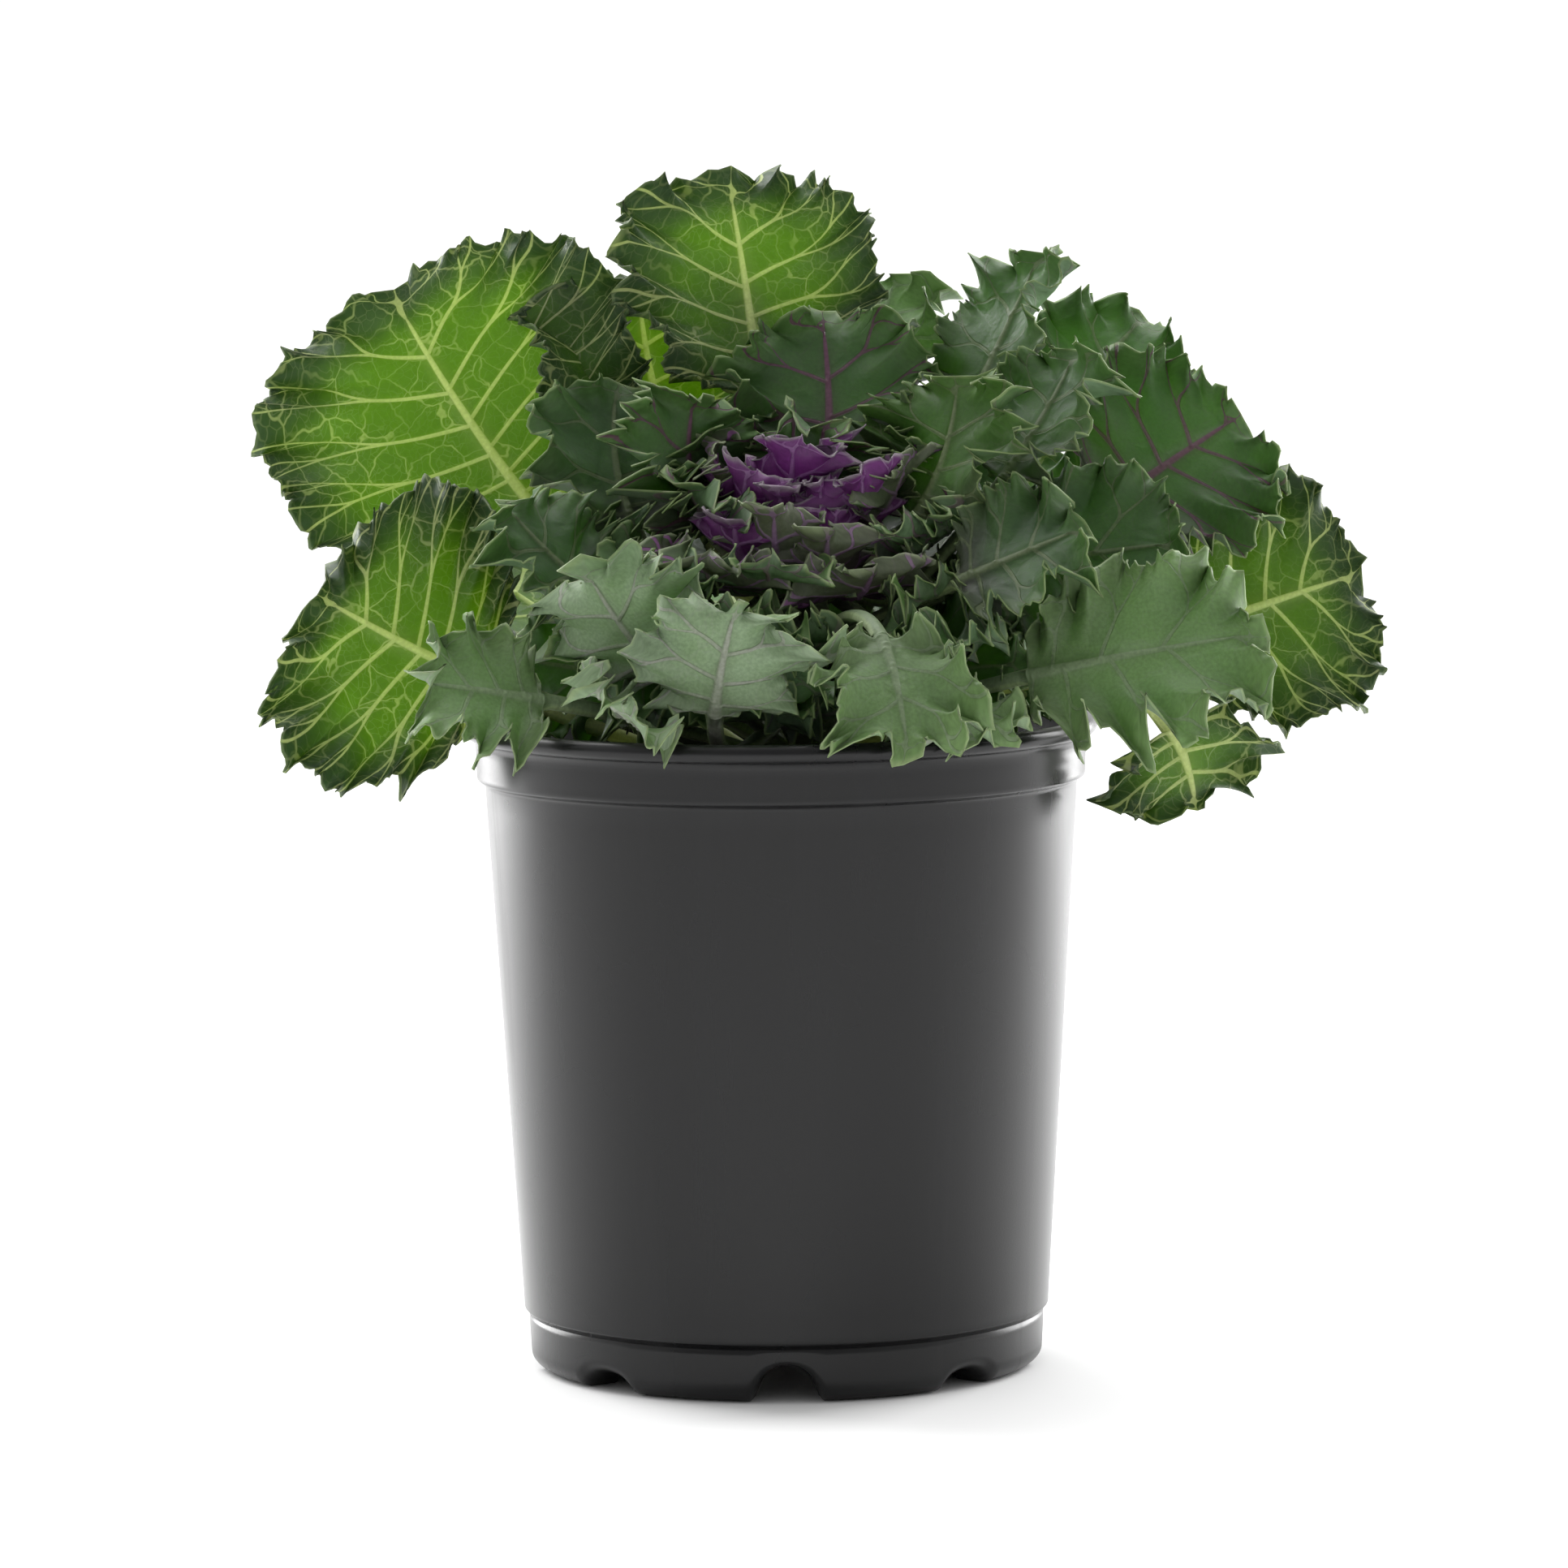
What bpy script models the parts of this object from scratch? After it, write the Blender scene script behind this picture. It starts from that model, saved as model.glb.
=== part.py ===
"""Ornamental kale in a round nursery pot: a rosette of waved leaves on a short stem, standing in soil."""

import math
from collections import namedtuple

import bmesh
import bpy
import numpy as np

MM = 0.001

# The model's origin is under the middle of its whole box. The pot's axis stands a little to one side.
POT_AXIS = (-0.0126, -0.0202, 0.0)

# Pot, in millimetres: radii and heights
POT_HEIGHT = 209.0
RIM_RADIUS = 101.6
RIM_DEPTH = 6.0
BAND_RADIUS = 97.7
BAND_FOOT = 190.0
WALL_TOP_RADIUS = 95.0
WALL_FOOT_RADIUS = 84.5
WALL_FOOT = 19.0
BASE_RADIUS = 83.0
WALL = 1.6
FLOOR = 13.5
FLOOR_THICK = 2.0
FOOT_OUTER = 76.5
FOOT_INNER = 67.0
POT_SIDES = 56

# Arches between the feet, and the drain holes above them
ARCHES = 8
ARCH_HEIGHT = 11.7
ARCH_TOP_WIDTH = 15.6
ARCH_FOOT_WIDTH = 20.0
FIRST_ARCH = 270.0
DRAIN_RADIUS = 5.0
DRAIN_CIRCLE = 56.0

# Soil and stem, in millimetres
SOIL_TOP = 176.0
SOIL_GAP = 0.4
SOIL_BUMP = 1.6
STEM_FOOT = np.array([3.0, 10.0, 184.0]) * MM
STEM_TOP = np.array([8.0, -4.0, 262.0]) * MM
STEM_RADIUS = 8.5
STEM_SUNK = 44.0
STEM_SPLIT = 0.72
HOLE_SLACK = 0.5

# The heart's middle, from which the inner leaves open, leaning forwards
CROWN = np.array([8.0, -5.0, 262.0])
CROWN_LEAN = math.radians(24)
GOLDEN_TURN = 137.5

# Leaves
STALK_SHARE = 0.17
STALK_HALF = 2.5
STALK_FLARE = 0.5
STALK_THICK = 2.0
RIB_THICK = 1.5
SHEET_HALF = 0.34
CURL_BAND = 24.0
FOLD_BAND = 42.0
OUTER_ROOT = 11.0
SUNK_ROOT = 5.0
HEART_ROOT = 1.5

# Rows of a leaf's grid, each a share of the way from rib to margin and the columns between its points
WIDE_ROWS = ((-1, 2), (0.0, 2), (0.55, 2), (1.0, 1))
WIDE_COLUMNS = 20
SMALL_ROWS = ((-1, 2), (0.45, 2), (1.0, 1))
SMALL_COLUMNS = 16
TINY_ROWS = ((-1, 2), (1.0, 1))
TINY_COLUMNS = 8
WIDE_LEAF = 70
TINY_LEAF = 30

Leaf = namedtuple("Leaf", "name root base tip width roll cup curl frill waves seed")

# Each leaf: root is its height up the stem, from 0 to 1. base and tip are where its blade starts and ends,
# each as azimuth in degrees, reach from the pot's axis and height in millimetres. width is in millimetres,
# roll, cup and curl are in degrees, frill is the depth of the margin's waves in millimetres.
OUTER_LEAVES = (
    Leaf("leaf_left_high", 0.18, (149, 88, 268), (148, 150, 344), 126, -62, 8, 15, 5, 13, 1),
    Leaf("leaf_back_high", 0.32, (96, 54, 310), (100, 90, 379), 86, 0, 15, 20, 5, 12, 2),
    Leaf("leaf_back_notched", 0.51, (67, 72, 312), (67, 102, 346), 46, 10, 15, 20, 5, 8, 3),
    Leaf("leaf_right_high", 0.43, (33, 75, 306), (36, 107, 354), 48, 0, 15, 35, 5, 8, 4),
    Leaf("leaf_right_inner", 0.52, (0, 72, 284), (10, 98, 324), 48, 20, 15, 20, 5, 8, 5),
    Leaf("leaf_right_frilled", 0.19, (8, 107, 274), (12, 153, 302), 78, 60, 15, 20, 5, 11, 6),
    Leaf("leaf_right_rear", 0.28, (33, 108, 300), (36, 150, 332), 50, 40, 15, 20, 5, 8, 7),
    Leaf("leaf_right_low", 0.04, (9, 130, 232), (11, 192, 250), 84, 75, 10, 15, 4, 11, 8),
    Leaf("leaf_front_right", 0.22, (328, 92, 225), (341, 160, 238), 64, 65, 10, 15, 6, 11, 9),
    Leaf("leaf_right_hanging", 0.10, (349, 126, 206), (354, 133, 180), 56, 90, 10, 10, 6, 8, 10),
    Leaf("leaf_left_low", 0.05, (186, 94, 221), (184, 148, 250), 102, -75, 10, 15, 6, 13, 11),
    Leaf("leaf_front_left_low", 0.15, (219, 96, 220), (213, 134, 227), 48, -60, 10, 15, 6, 8, 12),
    Leaf("leaf_front_left_small", 0.04, (245, 92, 213), (241, 110, 224), 36, -30, 10, 15, 6, 8, 32),
    Leaf("leaf_front", 0.34, (256, 84, 217), (262, 96, 252), 52, 0, 10, 15, 6, 8, 13),
    Leaf("leaf_front_hanging", 0.53, (292, 84, 240), (290, 114, 207), 48, 0, 10, 15, 6, 8, 14),
    Leaf("leaf_front_small", 0.05, (305, 86, 219), (304, 108, 208), 42, 0, 10, 15, 6, 8, 33),
    Leaf("leaf_front_left", 0.44, (238, 66, 227), (228, 90, 262), 64, 20, 10, 15, 6, 9, 15),
    Leaf("leaf_front_inner", 0.40, (313, 66, 232), (317, 90, 239), 42, 10, 10, 15, 6, 8, 34),
    Leaf("leaf_left_inner", 0.55, (158, 50, 268), (142, 66, 314), 54, -20, 10, 20, 6, 9, 16),
    Leaf("leaf_left_middle", 0.42, (196, 58, 247), (190, 88, 278), 52, -40, 10, 20, 6, 9, 17),
    Leaf("leaf_right_middle", 0.62, (329, 66, 254), (338, 104, 271), 54, 50, 15, 20, 6, 9, 21),
    Leaf("leaf_back_low_right", 0.06, (62, 90, 226), (60, 150, 250), 84, 10, 10, 15, 5, 11, 41),
    Leaf("leaf_back_low", 0.02, (95, 92, 222), (97, 152, 240), 80, 0, 10, 15, 5, 11, 42),
    Leaf("leaf_back_low_left", 0.09, (130, 92, 224), (134, 150, 252), 80, -10, 10, 15, 5, 11, 43),
    Leaf("leaf_back_middle_right", 0.13, (44, 78, 246), (45, 128, 288), 60, 15, 10, 15, 5, 10, 44),
    Leaf("leaf_back_middle", 0.20, (80, 72, 252), (79, 124, 290), 54, 0, 10, 15, 5, 10, 45),
    Leaf("leaf_back_middle_left", 0.24, (116, 76, 250), (116, 128, 294), 62, -10, 10, 15, 5, 10, 46),
)
HEAD_LEAVES = (
    Leaf("head_back", 0.75, (60, 32, 284), (75, 57, 335), 60, 0, 15, 20, 6, 9, 18),
    Leaf("head_right", 0.80, (6, 47, 274), (14, 60, 313), 60, 20, 15, 20, 6, 9, 19),
    Leaf("head_left", 0.85, (157, 24, 272), (144, 31, 309), 46, -10, 15, 20, 6, 9, 20),
)
HEAD_RING = 8
HEART_RING = 7

# Colours as photographed, and roughness
LEAF_GREEN = ((0.055, 0.125, 0.040), 0.55)
HEAD_GREEN = ((0.040, 0.085, 0.045), 0.55)
HEART_PURPLE = ((0.110, 0.020, 0.130), 0.50)
STEM_GREEN = ((0.190, 0.240, 0.130), 0.60)
SOIL_BROWN = ((0.020, 0.014, 0.010), 0.95)
POT_BLACK = ((0.022, 0.022, 0.024), 0.38)


def clear_scene():
    for obj in list(bpy.data.objects):
        bpy.data.objects.remove(obj, do_unlink=True)


def make_material(name, look):
    """Principled material of one colour and roughness."""
    colour, roughness = look
    material = bpy.data.materials.new(name)
    material.use_nodes = True
    shader = material.node_tree.nodes["Principled BSDF"]
    shader.inputs["Base Color"].default_value = (*colour, 1.0)
    shader.inputs["Roughness"].default_value = roughness
    shader.inputs["Metallic"].default_value = 0.0
    material.diffuse_color = (*colour, 1.0)
    return material


def add_object(name, points, faces, material, smooth=True):
    mesh = bpy.data.meshes.new(name)
    mesh.from_pydata([tuple(p) for p in points], [], [tuple(int(i) for i in f) for f in faces])
    mesh.materials.append(material)
    obj = bpy.data.objects.new(name, mesh)
    bpy.context.scene.collection.objects.link(obj)
    if smooth:
        mesh.shade_smooth()
        mesh.set_sharp_from_angle(angle=math.radians(35))
    return obj


def apply_boolean(obj, operation, solver, other=None, collection=None):
    """Joins or cuts the object once, and keeps the resulting mesh."""
    modifier = obj.modifiers.new(operation.lower(), "BOOLEAN")
    modifier.operation = operation
    modifier.solver = solver
    if collection is None:
        modifier.object = other
    else:
        modifier.operand_type = "COLLECTION"
        modifier.collection = collection
    graph = bpy.context.evaluated_depsgraph_get()
    mesh = bpy.data.meshes.new_from_object(obj.evaluated_get(graph))
    obj.modifiers.clear()
    obj.data = mesh


def turned(profile, sides):
    """Points and faces of a closed profile of (radius, height) turned round Z. Radius 0 lies on the axis."""
    points, rings = [], []
    for radius, height in profile:
        count = sides if radius > 0 else 1
        rings.append(range(len(points), len(points) + count))
        for i in range(count):
            turn = 2 * math.pi * i / sides
            points.append((radius * math.cos(turn) * MM, radius * math.sin(turn) * MM, height * MM))
    faces = []
    for low, high in zip(rings, rings[1:] + rings[:1]):
        for i in range(sides):
            j = (i + 1) % sides
            if len(low) == 1 and len(high) == 1:
                break
            if len(low) == 1:
                faces.append((low[0], high[j], high[i]))
            elif len(high) == 1:
                faces.append((low[i], low[j], high[0]))
            else:
                faces.append((low[i], low[j], high[j], high[i]))
    return points, faces


def arc(centre, radius, start, end, count):
    """Points of an arc in a profile, angles in degrees."""
    turns = (math.radians(start + (end - start) * i / (count - 1)) for i in range(count))
    return [(centre[0] + radius * math.cos(t), centre[1] + radius * math.sin(t)) for t in turns]


def pot_profile():
    """Closed section of the pot, up the outside from the foot, over the rolled rim and down the inside."""
    lip = RIM_DEPTH / 2
    inner_foot = WALL_FOOT_RADIUS - WALL
    outside = [
        (FOOT_INNER, 0),
        (FOOT_OUTER, 0),
        (FOOT_OUTER + 4.0, 1.6),
        (BASE_RADIUS, 5.5),
        (BASE_RADIUS, WALL_FOOT - 1.6),
        (WALL_FOOT_RADIUS, WALL_FOOT),
        (WALL_TOP_RADIUS, BAND_FOOT - 2.0),
        (BAND_RADIUS - 0.5, BAND_FOOT - 0.6),
        (BAND_RADIUS, BAND_FOOT + 1.0),
        (BAND_RADIUS + 0.3, POT_HEIGHT - RIM_DEPTH),
    ]
    rim = arc((RIM_RADIUS - lip, POT_HEIGHT - lip), lip, -80, 90, 6)
    inside = [
        (BAND_RADIUS - 1.0, POT_HEIGHT - 0.4),
        (BAND_RADIUS - WALL, POT_HEIGHT - 3.0),
        (BAND_RADIUS - WALL, BAND_FOOT + 1.0),
        (WALL_TOP_RADIUS - WALL, BAND_FOOT - 3.0),
        (inner_foot, FLOOR + FLOOR_THICK + 2.0),
        (inner_foot - 3.0, FLOOR + FLOOR_THICK),
        (0, FLOOR + FLOOR_THICK),
        (0, FLOOR),
        (FOOT_INNER - 3.0, FLOOR),
    ]
    return outside + rim + inside


def arch_cutter():
    """One wedge for each arch between the feet, wider at the bottom, all in one helper mesh."""
    points, faces = [], []
    for i in range(ARCHES):
        turn = math.radians(FIRST_ARCH + 360 * i / ARCHES)
        out = np.array([math.cos(turn), math.sin(turn), 0])
        side = np.array([-math.sin(turn), math.cos(turn), 0])
        first = len(points)
        for reach in (FOOT_INNER - 8, BASE_RADIUS + 6):
            for width, height in ((ARCH_FOOT_WIDTH, -1), (ARCH_TOP_WIDTH, ARCH_HEIGHT)):
                for half in (-0.5, 0.5):
                    points.append((out * reach + side * width * half + (0, 0, height)) * MM)
        corners = ((0, 2, 3, 1), (4, 5, 7, 6), (0, 1, 5, 4), (2, 6, 7, 3), (0, 4, 6, 2), (1, 3, 7, 5))
        faces += [tuple(first + c for c in corner) for corner in corners]
    return points, faces


def drain_cutter():
    """A short eight-sided plug for each drain hole."""
    points, faces = [], []
    for i in range(ARCHES):
        turn = math.radians(FIRST_ARCH + 360 * (i + 0.5) / ARCHES)
        middle = (DRAIN_CIRCLE * math.cos(turn), DRAIN_CIRCLE * math.sin(turn))
        first = len(points)
        for height in (FLOOR - 1, FLOOR + FLOOR_THICK + 1):
            for j in range(8):
                corner = 2 * math.pi * j / 8
                x = middle[0] + DRAIN_RADIUS * math.cos(corner)
                y = middle[1] + DRAIN_RADIUS * math.sin(corner)
                points.append((x * MM, y * MM, height * MM))
        faces.append(tuple(first + j for j in reversed(range(8))))
        faces.append(tuple(first + 8 + j for j in range(8)))
        for j in range(8):
            k = (j + 1) % 8
            faces.append((first + j, first + k, first + 8 + k, first + 8 + j))
    return points, faces


def make_pot():
    pot = add_object("pot", *turned(pot_profile(), POT_SIDES), make_material("pot_plastic", POT_BLACK))
    for shape in (arch_cutter(), drain_cutter()):
        cutter = add_object("cutter", *shape, pot.data.materials[0], smooth=False)
        apply_boolean(pot, "DIFFERENCE", "EXACT", other=cutter)
        bpy.data.objects.remove(cutter, do_unlink=True)
    return pot


def stem_point(share):
    return STEM_FOOT + (STEM_TOP - STEM_FOOT) * share


def stem_round(low, high, low_radius, high_radius, sides=16):
    """Points and faces of a round piece of the leaning stem between two shares of its height."""
    axis = unit(STEM_TOP - STEM_FOOT)
    across = unit(np.cross(axis, (1.0, 0.0, 0.0)))
    other = np.cross(axis, across)
    points = []
    for share, radius in ((low, low_radius), (high, high_radius)):
        for i in range(sides):
            turn = 2 * math.pi * i / sides
            points.append(stem_point(share) + (across * math.cos(turn) + other * math.sin(turn)) * radius * MM)
    faces = [tuple(reversed(range(sides))), tuple(range(sides, 2 * sides))]
    for i in range(sides):
        j = (i + 1) % sides
        faces.append((i, j, sides + j, sides + i))
    return points, faces


def make_soil():
    """Soil that fills the pot, with a rough top and a plain hole for the stem."""
    gap = WALL + SOIL_GAP
    foot = FLOOR + FLOOR_THICK + SOIL_GAP
    slope = (WALL_TOP_RADIUS - WALL_FOOT_RADIUS) / (BAND_FOOT - WALL_FOOT)
    top_radius = WALL_FOOT_RADIUS + slope * (SOIL_TOP - WALL_FOOT) - gap
    profile = [
        (0, foot),
        (WALL_FOOT_RADIUS - gap - 3.5, foot),
        (WALL_FOOT_RADIUS - gap, foot + 3.0),
        (top_radius, SOIL_TOP - 1.0),
        (top_radius * 0.8, SOIL_TOP),
        (top_radius * 0.55, SOIL_TOP + 1.0),
        (top_radius * 0.3, SOIL_TOP + 1.5),
        (0, SOIL_TOP + 1.5),
    ]
    points, faces = turned(profile, 32)
    rng = np.random.default_rng(5)
    points = [(x, y, z + (rng.random() - 0.5) * SOIL_BUMP * MM * (z > SOIL_TOP * MM)) for x, y, z in points]
    soil = add_object("soil", points, faces, make_material("soil", SOIL_BROWN), smooth=False)
    sunk = -(STEM_SUNK + HOLE_SLACK) * MM / np.linalg.norm(STEM_TOP - STEM_FOOT)
    radius = STEM_RADIUS + HOLE_SLACK
    cutter = add_object("cutter", *stem_round(sunk, 0.3, radius, radius), soil.data.materials[0], smooth=False)
    apply_boolean(soil, "DIFFERENCE", "EXACT", other=cutter)
    bpy.data.objects.remove(cutter, do_unlink=True)
    return soil


def unit(vectors):
    return vectors / np.maximum(np.linalg.norm(vectors, axis=-1, keepdims=True), 1e-12)


def ease(x, low, high):
    t = np.clip((np.asarray(x, float) - low) / (high - low), 0, 1)
    return t * t * (3 - 2 * t)


def wander(rng, at, waves):
    """A smooth wandering line: the sum of sine waves, each a span and a size."""
    return sum(size * np.sin(2 * math.pi * (at / span + rng.random())) for span, size in waves)


def polar(azimuth, reach, height):
    turn = math.radians(azimuth)
    return np.array([reach * math.cos(turn), reach * math.sin(turn), height]) * MM


def crown_point(azimuth, reach, height):
    """A point of the crown, which leans forwards, as azimuth, reach and height from the pot's axis."""
    turn = math.radians(azimuth)
    x, y = reach * math.cos(turn), reach * math.sin(turn)
    lean_y = y * math.cos(CROWN_LEAN) - height * math.sin(CROWN_LEAN)
    lean_z = y * math.sin(CROWN_LEAN) + height * math.cos(CROWN_LEAN)
    x, y, z = CROWN + (x, lean_y, lean_z)
    return math.degrees(math.atan2(y, x)), math.hypot(x, y), z


def root_reach(share):
    """How far from the stem's axis a leaf starts: outside the stem low down, sunk in it above."""
    if share < STEM_SPLIT:
        return OUTER_ROOT * (1 - 0.2 * share) * MM
    return (SUNK_ROOT if share < 1 else HEART_ROOT) * MM


def midrib(leaf):
    """Distance, centre, across and up along a leaf's midrib, and how long its stalk and blade are."""
    base, tip = polar(*leaf.base), polar(*leaf.tip)
    axis = stem_point(leaf.root)
    root = axis + unit((base - axis) * (1, 1, 0)) * root_reach(leaf.root)
    stalk, blade = np.linalg.norm(base - root), np.linalg.norm(tip - base)
    total = stalk + blade
    u = np.linspace(0, 1.25 * total, 160)[:, None]
    centre = (
        root * (u - stalk) * (u - total) / (stalk * total)
        + base * u * (u - total) / (stalk * (stalk - total))
        + tip * u * (u - stalk) / (total * blade)
    )
    step = np.linalg.norm(np.diff(centre, axis=0), axis=1)
    distance = np.concatenate([[0], np.cumsum(step)])
    stalk = np.interp(stalk, u[:, 0], distance)
    blade = np.interp(total, u[:, 0], distance) - stalk
    along = unit(np.gradient(centre, axis=0))
    lean = -0.6 if tip[2] > base[2] else 0.6
    facing = np.array([0, 0, 1]) + lean * unit((tip - axis) * (1, 1, 0))
    across = unit(np.cross(facing, along))
    up = np.cross(along, across)
    roll = math.radians(leaf.roll) * ease(distance / (stalk + blade), 0.05, 0.65)[:, None]
    across, up = across * np.cos(roll) + up * np.sin(roll), up * np.cos(roll) - across * np.sin(roll)
    return distance, centre, across, up, stalk, blade


def margin(leaf, k, stalk, blade):
    """Half width and distance along of the margin at share k of it, and where its vein leaves the midrib."""
    b = np.clip((k - STALK_SHARE) / (1 - STALK_SHARE), 0, 1)
    angle = math.pi * (1 - b)
    neck = STALK_HALF * MM * (1 + STALK_FLARE * (1 - ease(k, 0, STALK_SHARE)))
    swell = np.clip(np.sin(angle), 0, 1) ** 0.72 * (1 + 0.12 * np.cos(angle))
    x = np.where(b > 0, neck * np.cos(b * math.pi / 2) + leaf.width * MM / 2 * swell, neck)
    y = np.where(b > 0, stalk + blade / 2 * (1 + np.cos(angle)), stalk * k / STALK_SHARE)
    vein = np.where(b > 0, stalk + 0.88 * blade * b**1.5, y)
    return x, y, vein, b


def leaf_surface(leaf, columns, shares):
    """Points and half thickness of a leaf's middle surface, in rows from the midrib to the margin."""
    distance, centre, across, up, stalk, blade = midrib(leaf)
    c = np.arange(-columns, columns + 1)
    sign = np.where(c < 0, -1.0, 1.0)
    k = 1 - np.abs(c) / columns
    x, y, vein, b = margin(leaf, k, stalk, blade)
    length = np.hypot(x, y - vein)
    out_x, out_y = x / length, (y - vein) / length
    # distance along the margin from the tip, for the waves
    dense = np.linspace(0, 1, 1001)
    dense_x, dense_y = margin(leaf, dense, stalk, blade)[:2]
    edge = np.concatenate([[0], np.cumsum(np.hypot(np.diff(dense_x), np.diff(dense_y)))])
    s = sign * (edge[-1] - np.interp(k, dense, edge))
    cycle = 2 * (edge[-1] - np.interp(STALK_SHARE, dense, edge)) / leaf.waves
    rng = np.random.default_rng(leaf.seed)
    phase = 2 * math.pi * s / cycle + wander(rng, s, ((3.7 * cycle, 1.1), (1.9 * cycle, 0.5)))
    swell = 1 + wander(rng, s, ((2.6 * cycle, 0.3), (5.3 * cycle, 0.2)))
    droop = wander(rng, s, ((6.1 * cycle, 0.5), (3.3 * cycle, 0.35)))
    onset = ease(b, 0.0, 0.16)
    rib = np.minimum((0.5 + 2.4 * (1 - 0.8 * k)) * MM, 0.5 * length)
    share = np.array(shares)[:, None]
    r = np.where(share < 0, 0, rib / length + (1 - rib / length) * share)
    # the outer band curls up evenly
    band = np.minimum(0.55 * length, CURL_BAND * MM)
    theta = math.radians(leaf.curl) * (1 + 0.6 * droop) * onset + 1e-6
    bent = theta * np.clip((r - 1) * length / band + 1, 0, 1)
    run = np.minimum(r * length, length - band) + band * np.sin(bent) / theta
    rise = band * (1 - np.cos(bent)) / theta
    # waves that grow towards the margin
    folds = np.clip((r - 1) * length / np.minimum(0.8 * length, FOLD_BAND * MM) + 1, 0, 1) ** 1.7 * onset
    lift = leaf.frill * MM * swell * folds * np.sin(phase)
    reach = 0.4 * leaf.frill * MM * folds * np.cos(phase + 0.6)
    flat = run + reach - np.sin(bent) * lift
    height = rise + np.cos(bent) * lift
    # the blade is bowed across, and laid along the midrib
    bow = math.radians(leaf.cup) / (leaf.width * MM / 2)
    turn = bow * out_x * flat
    away = sign * (np.sin(turn) / bow - height * np.sin(turn))
    above = (1 - np.cos(turn)) / bow + height * np.cos(turn)
    at = np.clip(vein + out_y * flat, 0, distance[-1])
    middle, side, top = (
        np.stack([np.interp(at, distance, line[:, j]) for j in range(3)], -1) for line in (centre, across, up)
    )
    points = middle + unit(side) * away[..., None] + unit(top) * above[..., None]
    ridge = (0.4 + RIB_THICK * (1 - k) ** 0.8) * np.clip(1 - r * length / rib, 0, 1)
    stalk_half = STALK_THICK * np.sqrt(np.clip(1 - 0.9 * r**2, 0, 1))
    return points, np.maximum(SHEET_HALF, np.where(b > 0, ridge, stalk_half)) * MM


def leaf_grid(columns, steps):
    """Triangles of a leaf's grid, and each vertex's row and column. Rows near the rib have fewer columns."""
    index, faces = {}, []

    def vertex(row, column):
        return index.setdefault((row, abs(column) if row == 0 else column), len(index))

    for side in (-1, 1):
        for row in range(len(steps) - 1):
            wide, narrow = steps[row], steps[row + 1]
            for c in range(0, columns, wide):
                near, far = vertex(row, side * c), vertex(row, side * (c + wide))
                ring = [vertex(row + 1, side * (c + d)) for d in range(0, wide + 1, narrow)]
                half = len(ring) // 2
                fan = [(near, b, a) for a, b in zip(ring[:half], ring[1:])]
                fan.append((near, far, ring[half]))
                fan += [(far, b, a) for a, b in zip(ring[half:], ring[half + 1:])]
                faces += [f if side > 0 else f[::-1] for f in fan if len(set(f)) == 3]
    return np.array(faces), list(index)


def leaf_solid(leaf):
    """Vertices and triangles of a closed leaf, with the same triangles on both its faces."""
    columns, rows = SMALL_COLUMNS, SMALL_ROWS
    if leaf.width > WIDE_LEAF:
        columns, rows = WIDE_COLUMNS, WIDE_ROWS
    elif leaf.width < TINY_LEAF:
        columns, rows = TINY_COLUMNS, TINY_ROWS
    shares, steps = zip(*rows)
    points, half = leaf_surface(leaf, columns, shares)
    faces, keys = leaf_grid(columns, steps)
    middle = np.array([points[row, column + columns] for row, column in keys])
    thick = np.array([half[row, column + columns] for row, column in keys])[:, None]
    corner = middle[faces]
    face_normal = np.cross(corner[:, 1] - corner[:, 0], corner[:, 2] - corner[:, 0])
    normal = np.zeros_like(middle)
    for j in range(3):
        np.add.at(normal, faces[:, j], face_normal)
    normal = unit(normal) * thick
    edges = {(a, b) for f in faces.tolist() for a, b in zip(f, f[1:] + f[:1])}
    rim = sorted((a, b) for a, b in edges if (b, a) not in edges)
    m = len(middle)
    walls = [wall for a, b in rim for wall in ((b, a, a + m), (b, a + m, b + m))]
    return np.vstack([middle + normal, middle - normal]), np.vstack([faces, faces[:, ::-1] + m, walls])


def keep_largest_shell(mesh):
    """Fills hollows that fusing sealed, and drops loose scraps."""
    shape = bmesh.new()
    shape.from_mesh(mesh)
    waiting = set(shape.verts)
    shells = []
    while waiting:
        shell, reached = set(), [waiting.pop()]
        while reached:
            vertex = reached.pop()
            shell.add(vertex)
            near = {edge.other_vert(vertex) for edge in vertex.link_edges} & waiting
            waiting -= near
            reached.extend(near)
        shells.append(shell)
    largest = max(shells, key=len)
    spare = [vertex for shell in shells if shell is not largest for vertex in shell]
    bmesh.ops.delete(shape, geom=spare, context="VERTS")
    shape.to_mesh(mesh)
    shape.free()


def fuse(name, core, leaves, material):
    """One body from a core and the leaves whose roots are sunk in it."""
    body = add_object(name, *core, material)
    group = bpy.data.collections.new(name + "_leaves")
    bpy.context.scene.collection.children.link(group)
    for leaf in leaves:
        piece = add_object(leaf.name, *leaf_solid(leaf), material)
        bpy.context.scene.collection.objects.unlink(piece)
        group.objects.link(piece)
    apply_boolean(body, "UNION", "MANIFOLD", collection=group)
    for piece in list(group.objects):
        bpy.data.objects.remove(piece, do_unlink=True)
    bpy.data.collections.remove(group)
    keep_largest_shell(body.data)
    body.data.shade_smooth()
    body.data.set_sharp_from_angle(angle=math.radians(35))
    return body


def head_ring():
    """Frilled leaves round the crown, each a golden turn from the last."""
    for i in range(HEAD_RING):
        azimuth = 250 + GOLDEN_TURN * i
        base = crown_point(azimuth, 20 + i, 2)
        tip = crown_point(azimuth, 33 + 2.2 * i, 24 - 0.6 * i)
        yield Leaf(f"head_{i}", 0.98 - 0.02 * i, base, tip, 38 + i, 0, 20, 40, 5, 8, 60 + i)


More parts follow.
